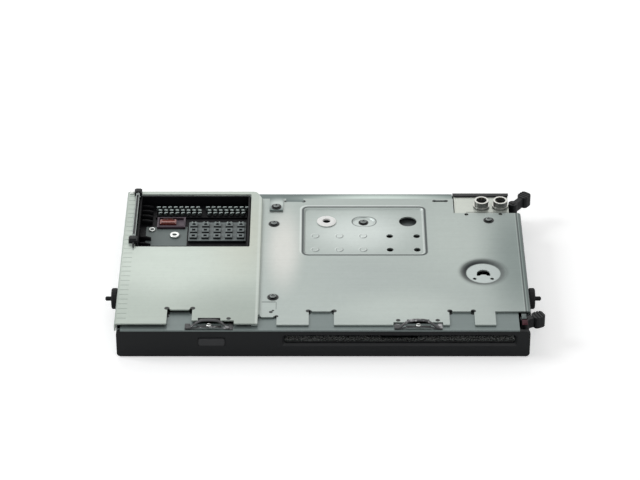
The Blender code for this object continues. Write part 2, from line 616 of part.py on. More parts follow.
def right_cover_holes(low, high):
    """Every hole of the right cover, with the half-moon hole of the dish."""
    bottom, top = low - OVERRUN, high + OVERRUN
    holes = Solid()
    holes.cylinder(*panel_place(RING_SHARES), RING_BORE, bottom, top)
    holes.cylinder(*panel_place(BIG_HOLE_SHARES), BIG_HOLE_RADIUS, bottom, top)
    holes.cylinder(*panel_place(ADJUSTER_SHARES), ADJUSTER_BORE, bottom, top, sides=BORE_SIDES)
    for row in ROW_SHARES:
        for column in HOLE_COLUMN_SHARES:
            holes.cylinder(*panel_place((column, row)), HOLE_RADIUS, bottom, top, sides=BORE_SIDES)
    for shares in COVER_SCREW_SHARES:
        holes.cylinder(*face_place(shares), COVER_SCREW_BORE, bottom, top, sides=BORE_SIDES)
    holes.cylinder(*tab_screw_place(), COVER_SCREW_BORE, bottom, top, sides=BORE_SIDES)
    for shares in BRACKET_HOLE_SHARES:
        holes.cylinder(*face_place(shares), BRACKET_HOLE, bottom, top, sides=BORE_SIDES)
    for side in (-1, 1):
        holes.cylinder(DISH_X + side * DISH_FLAT * DISH_PIN_SHARES[0],
                       DISH_Y - DISH_FLAT * DISH_PIN_SHARES[1], DISH_PIN_HOLE, bottom, top, sides=BORE_SIDES)
    moon = [(DISH_X + DISH_HOLE * math.cos(angle), DISH_Y + DISH_HOLE * math.sin(angle))
            for angle in (math.pi * step / ARC_STEPS / 2 for step in range(2 * ARC_STEPS + 1))]
    tongue = DISH_HOLE * DISH_TAB_SHARE
    moon += [(DISH_X - DISH_HOLE, DISH_Y - tongue * 2), (DISH_X - tongue * 2, DISH_Y - tongue * 2),
             (DISH_X - tongue, DISH_Y - tongue), (DISH_X + tongue, DISH_Y - tongue),
             (DISH_X + tongue * 2, DISH_Y - tongue * 2), (DISH_X + DISH_HOLE, DISH_Y - tongue * 2)]
    holes.prism(moon, bottom, top)
    slit_x, slit_y = face_place(SLIT_SHARES)
    holes.prism(rectangle(slit_x - SLIT_LENGTH / 2, slit_x + SLIT_LENGTH / 2, slit_y - SLIT_WIDTH / 2,
                          slit_y + SLIT_WIDTH / 2), bottom, top)
    return holes


# Rails
RAIL_DEPTH = 0.0062        # strip from the near edge to under the covers
TAB_LAP = 0.0010           # how far a tab runs on under the cover past its notch
RAIL_END = 0.0034          # the rail stops this far from the left edge
TONGUE_X_SHARE = 0.0520
TONGUE_WIDTH = 0.0076
TONGUE_REACH = 0.0136      # from the cover's far edge to the tongue's tip
FAR_RAIL_DEPTH = 0.0100


def build_near_rail():
    """Strip along the near edge with a tab in every notch."""
    left = LEFT + RAIL_END
    rail = Solid()
    far = NEAR + RAIL_DEPTH
    tabs = [(LEFT_NOTCH_X, NOTCH_WIDTH, NOTCH_FAR), (STEP_NOTCH_X, NARROW_NOTCH_WIDTH, STEP_NOTCH_FAR)]
    tabs += [(face_x(share), NOTCH_WIDTH, NOTCH_FAR) for share in NOTCH_SHARES]
    corner = RIGHT - CORNER_NOTCH - TAB_LAP
    right = NEAR_CORNER_X - CLEARANCE
    outline = [(left, NEAR), (right, NEAR), (right, NOTCH_FAR + TAB_LAP), (corner, NOTCH_FAR + TAB_LAP),
               (corner, far)]
    for middle, width, notch_far in reversed(tabs):
        half = width / 2 + TAB_LAP
        reach = notch_far + TAB_LAP
        outline += [(middle + half, far), (middle + half, reach), (middle - half, reach),
                    (middle - half, far)]
    outline += [(left, far)]
    rail.prism(outline, RAIL_LOW, RAIL_HIGH)
    return node("near_rail", rail, "dark_steel")


def build_far_rail():
    """Strip along the far edge, narrow behind the connector, with a tongue over the right cover."""
    left = LEFT + RAIL_END
    narrow = RECESS_FAR + CLEARANCE
    wide = COVER_FAR + FAR_STRIP - FAR_RAIL_DEPTH
    right = ANTENNA_LEFT - CLEARANCE
    wall_left = RECESS_RIGHT + SHEET
    outline = [(left, narrow), (wall_left, narrow), (wall_left, wide), (right, wide), (right, FAR),
               (left, FAR)]
    rail = node("far_rail", Solid().prism(outline, RAIL_LOW, RAIL_HIGH), "dark_steel")
    middle = face_x(TONGUE_X_SHARE)
    top = RIGHT_COVER_HIGH + CLEARANCE
    riser = COVER_FAR + CLEARANCE
    root = RAIL_LOW + SHEET / 2
    tip = COVER_FAR - TONGUE_REACH
    profile = [(riser, root), (riser + SHEET, root), (riser + SHEET, top + SHEET), (tip, top + SHEET),
               (tip, top), (riser, top)]
    join(rail, Solid().prism(profile, middle - TONGUE_WIDTH / 2, middle + TONGUE_WIDTH / 2, "X"))
    tab_x, tab_y = tab_screw_place()
    cut(rail, Solid().cylinder(tab_x, tab_y, COVER_SCREW_BORE, top - CLEARANCE, top + SHEET + OVERRUN,
                               sides=BORE_SIDES))
    return rail


TONGUE_SCREW_SHARE = 0.76


def tab_screw_place():
    return face_x(TONGUE_X_SHARE), COVER_FAR - TONGUE_REACH * TONGUE_SCREW_SHARE


WALL_FLANGE = 0.0174
WALL_FOOT = 0.0080
WALL_TO_RECESS = 0.0006
WALL_LEFT = RECESS_RIGHT + WALL_TO_RECESS - CLEARANCE


def build_centre_wall():
    """C-section between the bays. The covers are screwed to its top flange."""
    left = WALL_LEFT
    profile = [(left, FLOOR), (left + WALL_FOOT, FLOOR), (left + WALL_FOOT, FLOOR + SHEET),
               (left + SHEET, FLOOR + SHEET), (left + SHEET, RAIL_LOW), (left + WALL_FLANGE, RAIL_LOW),
               (left + WALL_FLANGE, RAIL_HIGH), (left, RAIL_HIGH)]
    near = STEP_NOTCH_FAR + TAB_LAP + CLEARANCE
    far = COVER_FAR + FAR_STRIP - FAR_RAIL_DEPTH - CLEARANCE
    wall = node("centre_wall", Solid().prism(profile, near, far, "Y"), "dark_steel")
    holes = Solid()
    for shares in COVER_SCREW_SHARES[:2]:
        holes.cylinder(*face_place(shares), COVER_SCREW_BORE, RAIL_LOW - SHEET, RAIL_HIGH + OVERRUN,
                       sides=BORE_SIDES)
    holes.cylinder(*tab_screw_place(), COVER_SCREW_BORE, RAIL_LOW - SHEET, RAIL_HIGH + OVERRUN,
                   sides=BORE_SIDES)
    holes.prism(ellipse(PINION_Y, PINION_Z, MOTOR_SHAFT_HOLE), left - OVERRUN, left + 2 * SHEET,
                "X")
    cut(wall, holes)
    return wall


def build_bezel():
    """Black moulding on the near wall, with the flared disc slot and the button's window."""
    outline = rounded(rectangle(-WALL_X, WALL_X, CLEARANCE, TRAY_TOP), BEZEL_RADIUS)
    bezel = node("front_bezel", Solid().prism(outline, BEZEL_NEAR, BEZEL_FAR, "Y"), "black_plastic")
    slot = rounded(rectangle(PATH_LEFT, PATH_RIGHT, PATH_LOW - CLEARANCE, PATH_HIGH + CLEARANCE),
                   SLOT_RADIUS)
    flare = rounded(rectangle(PATH_LEFT - SLOT_FLARE, PATH_RIGHT + SLOT_FLARE,
                              PATH_LOW - CLEARANCE - SLOT_FLARE, PATH_HIGH + CLEARANCE + SLOT_FLARE),
                    SLOT_RADIUS)
    cut(bezel, Solid().prism(slot, BEZEL_NEAR - OVERRUN, BEZEL_FAR + OVERRUN, "Y"))
    cut(bezel, Solid().prism(slot, BEZEL_NEAR + SLOT_FLARE, BEZEL_NEAR, "Y", top=flare))
    half, rise = BUTTON_WIDTH / 2 + CLEARANCE, BUTTON_HEIGHT / 2 + CLEARANCE
    window = Solid().box(BUTTON_X - half, BUTTON_X + half, BEZEL_NEAR - OVERRUN, BEZEL_FAR + OVERRUN,
                         BUTTON_LEVEL - rise, BUTTON_LEVEL + rise)
    cut(bezel, window)
    half, rise = half + BUTTON_FLANGE, rise + BUTTON_FLANGE
    cut(bezel, Solid().box(BUTTON_X - half, BUTTON_X + half, BEZEL_FAR - POCKET_DEPTH, BEZEL_FAR + OVERRUN,
                           BUTTON_LEVEL - rise, BUTTON_LEVEL + rise))
    return bezel


def build_slot_felt():
    """One die-cut felt in the near wall's window, with the slit that the disc wipes through."""
    side = LIP_ROOM + LIP_THICKNESS
    felt = node("slot_felt", Solid().prism(
        rectangle(PATH_LEFT - side, PATH_RIGHT + side, PATH_LOW - side, PATH_HIGH + side),
        TRAY_NEAR, TRAY_NEAR_INSIDE, "Y"), "black_felt")
    slit = rectangle(PATH_LEFT - LIP_ROOM, PATH_RIGHT + LIP_ROOM, PATH_LOW - LIP_ROOM, PATH_HIGH + LIP_ROOM)
    return cut(felt, Solid().prism(slit, TRAY_NEAR - OVERRUN, TRAY_NEAR_INSIDE + OVERRUN, "Y"))


BUTTON_EDGE = 0.0010
SWITCH_WIDTH = 0.0060
SWITCH_DEPTH = 0.0044
SWITCH_HEIGHT = 0.0042


def build_eject_button():
    """Rounded head, retaining flange behind the bezel, and the stem that reaches the switch."""
    flange_near = BEZEL_FAR - POCKET_DEPTH + CLEARANCE
    head = rectangle(BUTTON_X - BUTTON_WIDTH / 2, BUTTON_X + BUTTON_WIDTH / 2,
                     BUTTON_LEVEL - BUTTON_HEIGHT / 2, BUTTON_LEVEL + BUTTON_HEIGHT / 2)
    button = node("eject_button", Solid().prism(rounded(head, BUTTON_EDGE), NEAR,
                                               flange_near + FLANGE_SHEET / 2, "Y"),
                  "grey_plastic")
    half, rise = BUTTON_WIDTH / 2 + BUTTON_FLANGE, BUTTON_HEIGHT / 2 + BUTTON_FLANGE
    stem_far = flange_near + FLANGE_SHEET + STEM_LENGTH
    join(button, Solid().box(BUTTON_X - half, BUTTON_X + half, flange_near, flange_near + FLANGE_SHEET,
                             BUTTON_LEVEL - rise, BUTTON_LEVEL + rise))
    join(button, Solid().box(BUTTON_X - STEM_WIDTH / 2, BUTTON_X + STEM_WIDTH / 2,
                             flange_near + FLANGE_SHEET / 2, stem_far,
                             BUTTON_LEVEL - STEM_HEIGHT / 2, BUTTON_LEVEL + STEM_HEIGHT / 2))
    pivot("eject_button_axis", (BUTTON_X, NEAR, BUTTON_LEVEL), [button])
    return stem_far


def build_eject_switch(stem_far):
    near = stem_far + BUTTON_TRAVEL + CLEARANCE
    switch = Solid().box(BUTTON_X - SWITCH_WIDTH / 2, BUTTON_X + SWITCH_WIDTH / 2, near, near + SWITCH_DEPTH,
                         BOARD_HIGH + CLEARANCE, BOARD_HIGH + CLEARANCE + SWITCH_HEIGHT)
    node("eject_switch", switch, "grey_plastic")


def build_leaf_spring(name, middle):
    """Sheet spring arched over the near rail: riveted feet, sloping legs and a crowned middle."""
    half = SPRING_WIDTH / 2
    base = RAIL_HIGH + CLEARANCE
    knee = half - SPRING_FOOT
    crown = knee * SPRING_CROWN_SHARE
    upper = [(-half, base), (-knee, base)]
    steps = 3 * ARC_STEPS
    for step in range(1, steps):
        share = step / steps
        across = -knee + 2 * knee * share
        slope = min(1.0, (knee - abs(across)) / (knee - crown))
        rise = SPRING_RISE * math.sin(slope * math.pi / 2)
        upper.append((across, base + rise))
    upper += [(knee, base), (half, base)]
    outline = [(middle + u, v) for u, v in upper]
    outline += [(middle + u, v + SPRING_SHEET) for u, v in reversed(upper)]
    spring = node(name, Solid().prism(outline, SPRING_NEAR, SPRING_FAR, "Y"), "spring_steel")
    rivets = Solid()
    seat = base + SPRING_SHEET
    for side in (-1, 1):
        rivets.turned([(0, base + SPRING_SHEET / 2), (RIVET_RADIUS, base + SPRING_SHEET / 2),
                       (RIVET_RADIUS, seat + RIVET_HEAD / 2), (RIVET_RADIUS / 2, seat + RIVET_HEAD),
                       (0, seat + RIVET_HEAD)],
                      middle + side * (half - SPRING_FOOT / 2), (SPRING_NEAR + SPRING_FAR) / 2,
                      sides=BORE_SIDES)
    join(spring, rivets)


SCREW_HEAD_RADIUS = 0.0028
SCREW_HEAD = 0.0012
SCREW_SHANK = 0.0015
SCREW_LENGTH = 0.0052
SCREW_EDGE_SHARE = 0.75


def build_screw(name, x, y, seat):
    """A pan-head screw whose head sits just above the seat."""
    head = seat + CLEARANCE
    screw = Solid()
    screw.turned([(0, seat - SCREW_LENGTH), (SCREW_SHANK, seat - SCREW_LENGTH), (SCREW_SHANK, head),
                  (SCREW_HEAD_RADIUS, head), (SCREW_HEAD_RADIUS, head + SCREW_HEAD / 2),
                  (SCREW_HEAD_RADIUS * SCREW_EDGE_SHARE, head + SCREW_HEAD), (0, head + SCREW_HEAD)],
                 x, y, sides=BORE_SIDES)
    node(name, screw, "bright_steel")


def build_cover_screws():
    names = ("cover_screw_far", "cover_screw_near", "cover_screw_antenna")
    for name, shares in zip(names, COVER_SCREW_SHARES):
        build_screw(name, *face_place(shares), RIGHT_COVER_HIGH)
    build_screw("tongue_screw", *tab_screw_place(), RIGHT_COVER_HIGH + CLEARANCE + SHEET)


ADJUSTER_RADIUS = 0.0026
BUSH_RADIUS = 0.0054
BUSH_RISE = 0.0006
BUSH_BORE = 0.0023
BUSH_DEPTH = 0.0030


def build_panel_fittings():
    """The white bush and the adjuster screw, both in the pressed panel."""
    x, y = panel_place(ADJUSTER_SHARES)
    adjuster = Solid()
    head = PANEL_TOP - ADJUSTER_DISH_DEPTH + CLEARANCE
    shank = ADJUSTER_BORE - CLEARANCE
    adjuster.turned([(0, PANEL_LOW - SCREW_HEAD), (shank, PANEL_LOW - SCREW_HEAD), (shank, head),
                     (ADJUSTER_RADIUS, head), (ADJUSTER_RADIUS, head + SCREW_HEAD / 2),
                     (ADJUSTER_RADIUS * SCREW_EDGE_SHARE, head + SCREW_HEAD * SCREW_EDGE_SHARE),
                     (0, head + SCREW_HEAD * SCREW_EDGE_SHARE)], x, y, sides=BORE_SIDES)
    node("adjuster_screw", adjuster, "bright_steel")
    x, y = panel_place(RING_SHARES)
    head = PANEL_TOP + CLEARANCE
    outer = RING_BORE - CLEARANCE
    foot = PANEL_TOP - BUSH_DEPTH
    bush = Solid().turned([(BUSH_BORE, foot), (outer, foot), (outer, head), (BUSH_RADIUS, head),
                           (BUSH_RADIUS, head + BUSH_RISE / 2),
                           (BUSH_RADIUS * SCREW_EDGE_SHARE, head + BUSH_RISE),
                           (BUSH_BORE, head + BUSH_RISE)], x, y)
    node("panel_bush", bush, "white_plastic")


def build_side_boss(name, side):
    """Rubber-faced disc with a locating pin, riveted to the tray's side wall."""
    inner = WALL_X + CLEARANCE
    seat = CASE_WIDTH / 2 + CLEARANCE
    disc = seat + BOSS_DEPTH
    profile = [(0, inner), (BOSS_SHANK_RADIUS, inner), (BOSS_SHANK_RADIUS, seat),
               (BOSS_RADIUS - BOSS_EDGE, seat), (BOSS_RADIUS, seat + BOSS_EDGE),
               (BOSS_RADIUS, disc - BOSS_EDGE),
               (BOSS_RADIUS - BOSS_EDGE, disc), (BOSS_PIN_RADIUS, disc),
               (BOSS_PIN_RADIUS, disc + BOSS_PIN_LENGTH - BOSS_EDGE),
               (BOSS_EDGE, disc + BOSS_PIN_LENGTH), (0, disc + BOSS_PIN_LENGTH)]
    boss = Solid().turned([(radius, side * place) for radius, place in profile], depth_y(BOSS_Y_SHARE),
                          BOSS_LEVEL, "X")
    node(name, boss, "black_rubber")


# Corner blocks and their swivelling clips
POST_RADIUS = 0.0012
HUB_RADIUS = 0.0026
CLIP_TOP = 0.0180
CLIP_ARM_WIDTH = 0.0028
LUG_WIDTH = 0.0064
LUG_LENGTH = 0.0066
LUG_RADIUS = 0.0020
RIB_COUNT = 3
RIB_DEPTH = 0.0005
RIB_WIDTH = 0.0006
PIVOT_INSET = 0.0036       # from the right edge to the posts
NEAR_PIVOT_DEPTH = 0.0108  # from the near edge
FAR_PIVOT_DEPTH = 0.0098   # from the far edge
NEAR_REACH = 0.0082        # from the post to the lug's middle
FAR_REACH = 0.0112
NEAR_ANGLE = math.radians(26)
FAR_ANGLE = math.radians(52)
BLOCK_LEFT_INSET = 0.0058
PIVOT_X = RIGHT - PIVOT_INSET
NEAR_PIVOT_Y = NEAR + NEAR_PIVOT_DEPTH
FAR_PIVOT_Y = FAR - FAR_PIVOT_DEPTH
CLIP_LOW = CORNER_FLOOR + CLEARANCE + CLEARANCE


def build_corner_block(name, near, far, pivot_y):
    """Moulded block in the tray's corner with the post that the clip swivels on."""
    left = RIGHT - BLOCK_LEFT_INSET
    block = node(name, Solid().box(left, INSIDE_X - CLEARANCE, near, far, FLOOR, CORNER_FLOOR),
                 "black_plastic")
    join(block, Solid().cylinder(PIVOT_X, pivot_y, POST_RADIUS, CORNER_FLOOR - SHEET, CLIP_TOP + CLEARANCE,
                                 sides=BORE_SIDES))
    return block


def build_clip(name, pivot_y, reach, angle):
    """Hub on the post, arm, and a ribbed lug with rounded corners."""
    turn = Matrix.Rotation(angle, 2)

    def turned_outline(points):
        return [tuple(turn @ Vector(point) + Vector((PIVOT_X, pivot_y))) for point in points]

    clip = node(name, Solid().cylinder(PIVOT_X, pivot_y, HUB_RADIUS, CLIP_LOW, CLIP_TOP), "black_plastic")
    arm = turned_outline(rectangle(0, reach, -CLIP_ARM_WIDTH / 2, CLIP_ARM_WIDTH / 2))
    inset = SHEET / 2
    join(clip, Solid().prism(arm, CLIP_LOW + inset, CLIP_TOP - inset))
    lug = turned_outline(rounded(rectangle(reach - LUG_LENGTH / 2, reach + LUG_LENGTH / 2,
                                           -LUG_WIDTH / 2, LUG_WIDTH / 2), LUG_RADIUS))
    join(clip, Solid().prism(lug, CLIP_LOW, CLIP_TOP))
    grooves = Solid()
    for index in range(RIB_COUNT):
        along = reach + (index - (RIB_COUNT - 1) / 2) * LUG_LENGTH / (RIB_COUNT + 1)
        groove = rectangle(along - RIB_WIDTH / 2, along + RIB_WIDTH / 2, -LUG_WIDTH, LUG_WIDTH)
        grooves.prism(turned_outline(groove), CLIP_TOP - RIB_DEPTH, CLIP_TOP + OVERRUN)
    cut(clip, grooves)
    cut(clip, Solid().cylinder(PIVOT_X, pivot_y, POST_RADIUS + CLEARANCE, CLIP_LOW - OVERRUN,
                               CLIP_TOP + OVERRUN, sides=BORE_SIDES))
    pivot(name + "_axis", (PIVOT_X, pivot_y, CLIP_LOW), [clip])


# Main board
BOARD_LOW = 0.0060
BOARD_SHEET = 0.0016
BOARD_RIGHT_GAP = 0.0150   # from the centre wall, where the loading motor lies
BOARD_NEAR_GAP = 0.0014
BOARD_FAR_GAP = 0.0040
BOARD_HIGH = BOARD_LOW + BOARD_SHEET
STANDOFF_RADIUS = 0.0026
STANDOFF_INSET = 0.0060
CHIP_SIDE = 0.0190
CHIP_HEIGHT = 0.0016
CHIP_SHARES = (0.45, 0.24)
AMPLIFIER_WIDTH = 0.0045
AMPLIFIER_LENGTH = 0.0300
AMPLIFIER_HEIGHT = 0.0090
AMPLIFIER_Y_SHARE = 0.30
CAPACITOR_RADII = (0.0050, 0.0050, 0.0040)
CAPACITOR_HEIGHT = 0.0092
CAPACITOR_EDGE = 0.0005
CAPACITOR_SHARES = ((0.80, 0.49), (0.80, 0.39), (0.62, 0.47))
BOARD_LEFT = -INSIDE_X + 2 * CLEARANCE
BOARD_RIGHT = WALL_LEFT - BOARD_RIGHT_GAP
BOARD_NEAR = TRAY_NEAR_INSIDE + BOARD_NEAR_GAP
BOARD_FAR = FAR_INSIDE - BOARD_FAR_GAP


def board_place(shares):
    return (BOARD_LEFT + (BOARD_RIGHT - BOARD_LEFT) * shares[0],
            BOARD_NEAR + (BOARD_FAR - BOARD_NEAR) * shares[1])


def build_board():
    """Main board with its soldered capacitors, and the two large chips on it."""
    board = node("main_board", Solid().box(BOARD_LEFT, BOARD_RIGHT, BOARD_NEAR, BOARD_FAR, BOARD_LOW,
                                           BOARD_HIGH), "green_board")
    capacitors = Solid()
    top = BOARD_HIGH + CAPACITOR_HEIGHT
    for radius, shares in zip(CAPACITOR_RADII, CAPACITOR_SHARES):
        capacitors.turned([(0, BOARD_LOW + BOARD_SHEET / 2), (radius, BOARD_LOW + BOARD_SHEET / 2),
                           (radius, top - CAPACITOR_EDGE), (radius - CAPACITOR_EDGE, top), (0, top)],
                          *board_place(shares), sides=BORE_SIDES)
    join(board, capacitors)
    seat = BOARD_HIGH + CLEARANCE
    x, y = board_place(CHIP_SHARES)
    half = CHIP_SIDE / 2
    node("processor_chip", Solid().box(x - half, x + half, y - half, y + half, seat, seat + CHIP_HEIGHT),
         "black_plastic")
    middle = board_place((0, AMPLIFIER_Y_SHARE))[1]
    half = AMPLIFIER_LENGTH / 2
    left = BOARD_LEFT + CLEARANCE
    node("amplifier_chip", Solid().box(left, left + AMPLIFIER_WIDTH, middle - half, middle + half, seat,
                                       seat + AMPLIFIER_HEIGHT), "black_plastic")


# Connector
SHELL_WALL = 0.0010
SHELL_FLOOR = 0.0130       # top of the floor that the pins stand on
SHELL_TOP_DROP = 0.0006    # below the cover's underside
PIN_FOOT = SHELL_FLOOR + CLEARANCE
HEADER_HEIGHT = 0.0010
SIGNAL_COLUMNS = 8
SIGNAL_GROUPS = 2
SIGNAL_WIDTH = 0.0014
SIGNAL_SHEET = 0.0008
SIGNAL_HEIGHT = 0.0034
SIGNAL_REACH = 0.0050
SIGNAL_SHARES = (0.165, 0.950, 0.815)   # first column, last column, and place along Y
SIGNAL_ROW_PITCH = 0.0052
GROUP_GAP = 0.0018
POWER_COLUMNS = 5
POWER_ROWS = 3
POWER_SIDE = 0.0026
POWER_HEIGHT = 0.0024
POWER_TIP_SHARE = 0.6
POWER_SHARES = (0.485, 0.935)
POWER_ROW_SHARES = (0.30, 0.58)
FUSE_WIDTH = 0.0098
FUSE_SHEET = 0.0040
FUSE_HEIGHT = 0.0058
FUSE_SHARE = 0.263
FUSE_GAP = 0.0008          # from the fuse holder to the signal pins' strip
FUSE_CROWN_SHARE = 0.8
HOLDER_MARGIN = 0.0014
HOLDER_TAIL = 0.0050
HOLDER_HEIGHT = 0.0026
EYELET_RADIUS = 0.0028
EYELET_BORE = 0.0013
EYELET_HEIGHT = 0.0012
EYELET_SHARES = (0.328, 0.385)
SHELL_LEFT = RECESS_LEFT + 2 * CLEARANCE
SHELL_RIGHT = RECESS_RIGHT - 2 * CLEARANCE
SHELL_NEAR = RECESS_NEAR + 2 * CLEARANCE
SHELL_FAR = RECESS_FAR - 2 * CLEARANCE
SIGNAL_Y = SHELL_NEAR + (SHELL_FAR - SHELL_NEAR) * SIGNAL_SHARES[2]
SIGNAL_NEAR = SIGNAL_Y - SIGNAL_ROW_PITCH / 2 - SIGNAL_SHEET - SIGNAL_WIDTH
FUSE_X = SHELL_LEFT + (SHELL_RIGHT - SHELL_LEFT) * FUSE_SHARE
FUSE_Y = SIGNAL_NEAR - FUSE_GAP - HOLDER_MARGIN - FUSE_SHEET / 2


def shell_place(shares):
    """A place on the connector's floor, from its shares across the recess."""
    return (SHELL_LEFT + (SHELL_RIGHT - SHELL_LEFT) * shares[0],
            SHELL_NEAR + (SHELL_FAR - SHELL_NEAR) * shares[1])


def build_connector():
    """Black moulded shell with its pins, fuse and ground eyelet."""
    top = LEFT_COVER_LOW + SHEET - SHELL_TOP_DROP
    shell = node("connector_shell", Solid().prism(
        rounded(rectangle(SHELL_LEFT, SHELL_RIGHT, SHELL_NEAR, SHELL_FAR), SHELL_WALL / 2),
        BOARD_HIGH + CLEARANCE, top), "black_plastic")
    inner = rectangle(SHELL_LEFT + SHELL_WALL, SHELL_RIGHT - SHELL_WALL, SHELL_NEAR + SHELL_WALL,
                      SHELL_FAR - SHELL_WALL)
    cut(shell, Solid().prism(inner, SHELL_FLOOR, top + OVERRUN))
    build_signal_header()
    build_power_header()
    x, y = FUSE_X, FUSE_Y
    half = FUSE_WIDTH / 2
    crown = half * FUSE_CROWN_SHARE
    low = PIN_FOOT + CLEARANCE
    outline = [(x - half, low), (x + half, low), (x + half, low + FUSE_HEIGHT * FUSE_CROWN_SHARE),
               (x + crown, low + FUSE_HEIGHT), (x - crown, low + FUSE_HEIGHT),
               (x - half, low + FUSE_HEIGHT * FUSE_CROWN_SHARE)]
    fuse = Solid().prism(outline, y - FUSE_SHEET / 2, y + FUSE_SHEET / 2, "Y")
    node("fuse", fuse, "red_plastic")
    holder = node("fuse_holder", Solid().box(
        x - half - HOLDER_MARGIN, x + half + HOLDER_TAIL, y - FUSE_SHEET / 2 - HOLDER_MARGIN,
        y + FUSE_SHEET / 2 + HOLDER_MARGIN, PIN_FOOT, PIN_FOOT + HOLDER_HEIGHT), "purple_plastic")
    room = Solid().box(x - half - CLEARANCE, x + half + CLEARANCE, y - FUSE_SHEET / 2 - CLEARANCE,
                       y + FUSE_SHEET / 2 + CLEARANCE, PIN_FOOT - OVERRUN,
                       PIN_FOOT + HOLDER_HEIGHT + OVERRUN)
    room.box(x + half + HOLDER_MARGIN, x + half + HOLDER_TAIL - HOLDER_MARGIN, y - FUSE_SHEET / 2,
             y + FUSE_SHEET / 2, PIN_FOOT + HOLDER_HEIGHT / 2, PIN_FOOT + HOLDER_HEIGHT + OVERRUN)
    cut(holder, room)
    eyelet = Solid().turned([(EYELET_BORE, PIN_FOOT), (EYELET_RADIUS, PIN_FOOT),
                             (EYELET_RADIUS, PIN_FOOT + EYELET_HEIGHT / 2),
                             (EYELET_RADIUS * SCREW_EDGE_SHARE, PIN_FOOT + EYELET_HEIGHT),
                             (EYELET_BORE, PIN_FOOT + EYELET_HEIGHT)], *shell_place(EYELET_SHARES))
    node("ground_eyelet", eyelet, "bright_steel")


def build_signal_header():
    """Insulating strip with two groups of eight columns of pins: a straight row and a bent row."""
    first, y = shell_place((SIGNAL_SHARES[0], SIGNAL_SHARES[2]))
    last = shell_place((SIGNAL_SHARES[1], 0))[0]
    strip_high = PIN_FOOT + HEADER_HEIGHT
    margin = SIGNAL_WIDTH
    header = node("signal_header", Solid().box(first - margin, last + margin, SIGNAL_NEAR,
                                               y + SIGNAL_SHEET + margin, PIN_FOOT, strip_high), "tin_plate")
    foot = PIN_FOOT + HEADER_HEIGHT / 2
    columns = SIGNAL_COLUMNS * SIGNAL_GROUPS
    pitch = (last - first - GROUP_GAP) / (columns - 1)
    pins = Solid()
    for column in range(columns):
        x = first + column * pitch + GROUP_GAP * (column // SIGNAL_COLUMNS)
        outer, inner = [], []
        for step in range(ARC_STEPS + 1):
            angle = math.pi / 2 * step / ARC_STEPS
            across, along = 1 - math.cos(angle), math.sin(angle)
            outer.append((y + SIGNAL_REACH * across, foot + SIGNAL_HEIGHT * along))
            inner.append((y + SIGNAL_SHEET + (SIGNAL_REACH - SIGNAL_SHEET) * across,
                          foot + (SIGNAL_HEIGHT - SIGNAL_SHEET) * along))
        pins.prism(outer + inner[::-1], x - SIGNAL_WIDTH / 2, x + SIGNAL_WIDTH / 2, "X")
        row = y - SIGNAL_ROW_PITCH / 2
        pins.box(x - SIGNAL_WIDTH / 2, x + SIGNAL_WIDTH / 2, row - SIGNAL_SHEET, row, foot,
                 foot + SIGNAL_HEIGHT)
    join(header, pins)


def build_power_header():
    """Insulating block with a grid of square blades with tapered tips."""
    low = shell_place((POWER_SHARES[0], POWER_ROW_SHARES[0]))
    high = shell_place((POWER_SHARES[1], POWER_ROW_SHARES[1]))
    half = POWER_SIDE / 2
    margin = half + SIGNAL_SHEET
    strip = Solid().box(low[0] - margin, high[0] + margin, low[1] - margin, high[1] + margin, PIN_FOOT,
                        PIN_FOOT + HEADER_HEIGHT)
    header = node("power_header", strip, "tin_plate")
    foot = PIN_FOOT + HEADER_HEIGHT / 2
    pins = Solid()
    for column in range(POWER_COLUMNS):
        for row in range(POWER_ROWS):
            x = low[0] + (high[0] - low[0]) * column / (POWER_COLUMNS - 1)
            y = low[1] + (high[1] - low[1]) * row / (POWER_ROWS - 1)
            slim = half * POWER_TIP_SHARE
            pins.prism(rectangle(x - half, x + half, y - half, y + half), foot, foot + POWER_HEIGHT,
                       top=rectangle(x - slim, x + slim, y - slim, y + slim))
    join(header, pins)


# Lock lever beside the connector
LEVER_HALF_WIDTH = 0.0010
LEVER_HALF_HEIGHT = 0.0008
LEVER_WALL = 0.0005
LEVER_PIN = 0.0006
LEVER_PIN_LENGTH = 0.0018
LEVER_RISE = 0.0017        # axis above the left cover
LEVER_INSET = 0.0062       # axis from the left edge
CAP_LENGTH = 0.0044
CAP_WIDTH = 0.0042
CAP_HEIGHT = 0.0026
CAP_RADIUS = 0.0012
LEVER_X = LEFT + LEVER_INSET
LEVER_Z = LEFT_COVER_HIGH + LEVER_RISE
FAR_CAP_INSET = 0.0032
NEAR_CAP_INSET = 0.0052
FAR_CAP_Y = FAR - FAR_CAP_INSET
NEAR_CAP_Y = RECESS_NEAR + NEAR_CAP_INSET


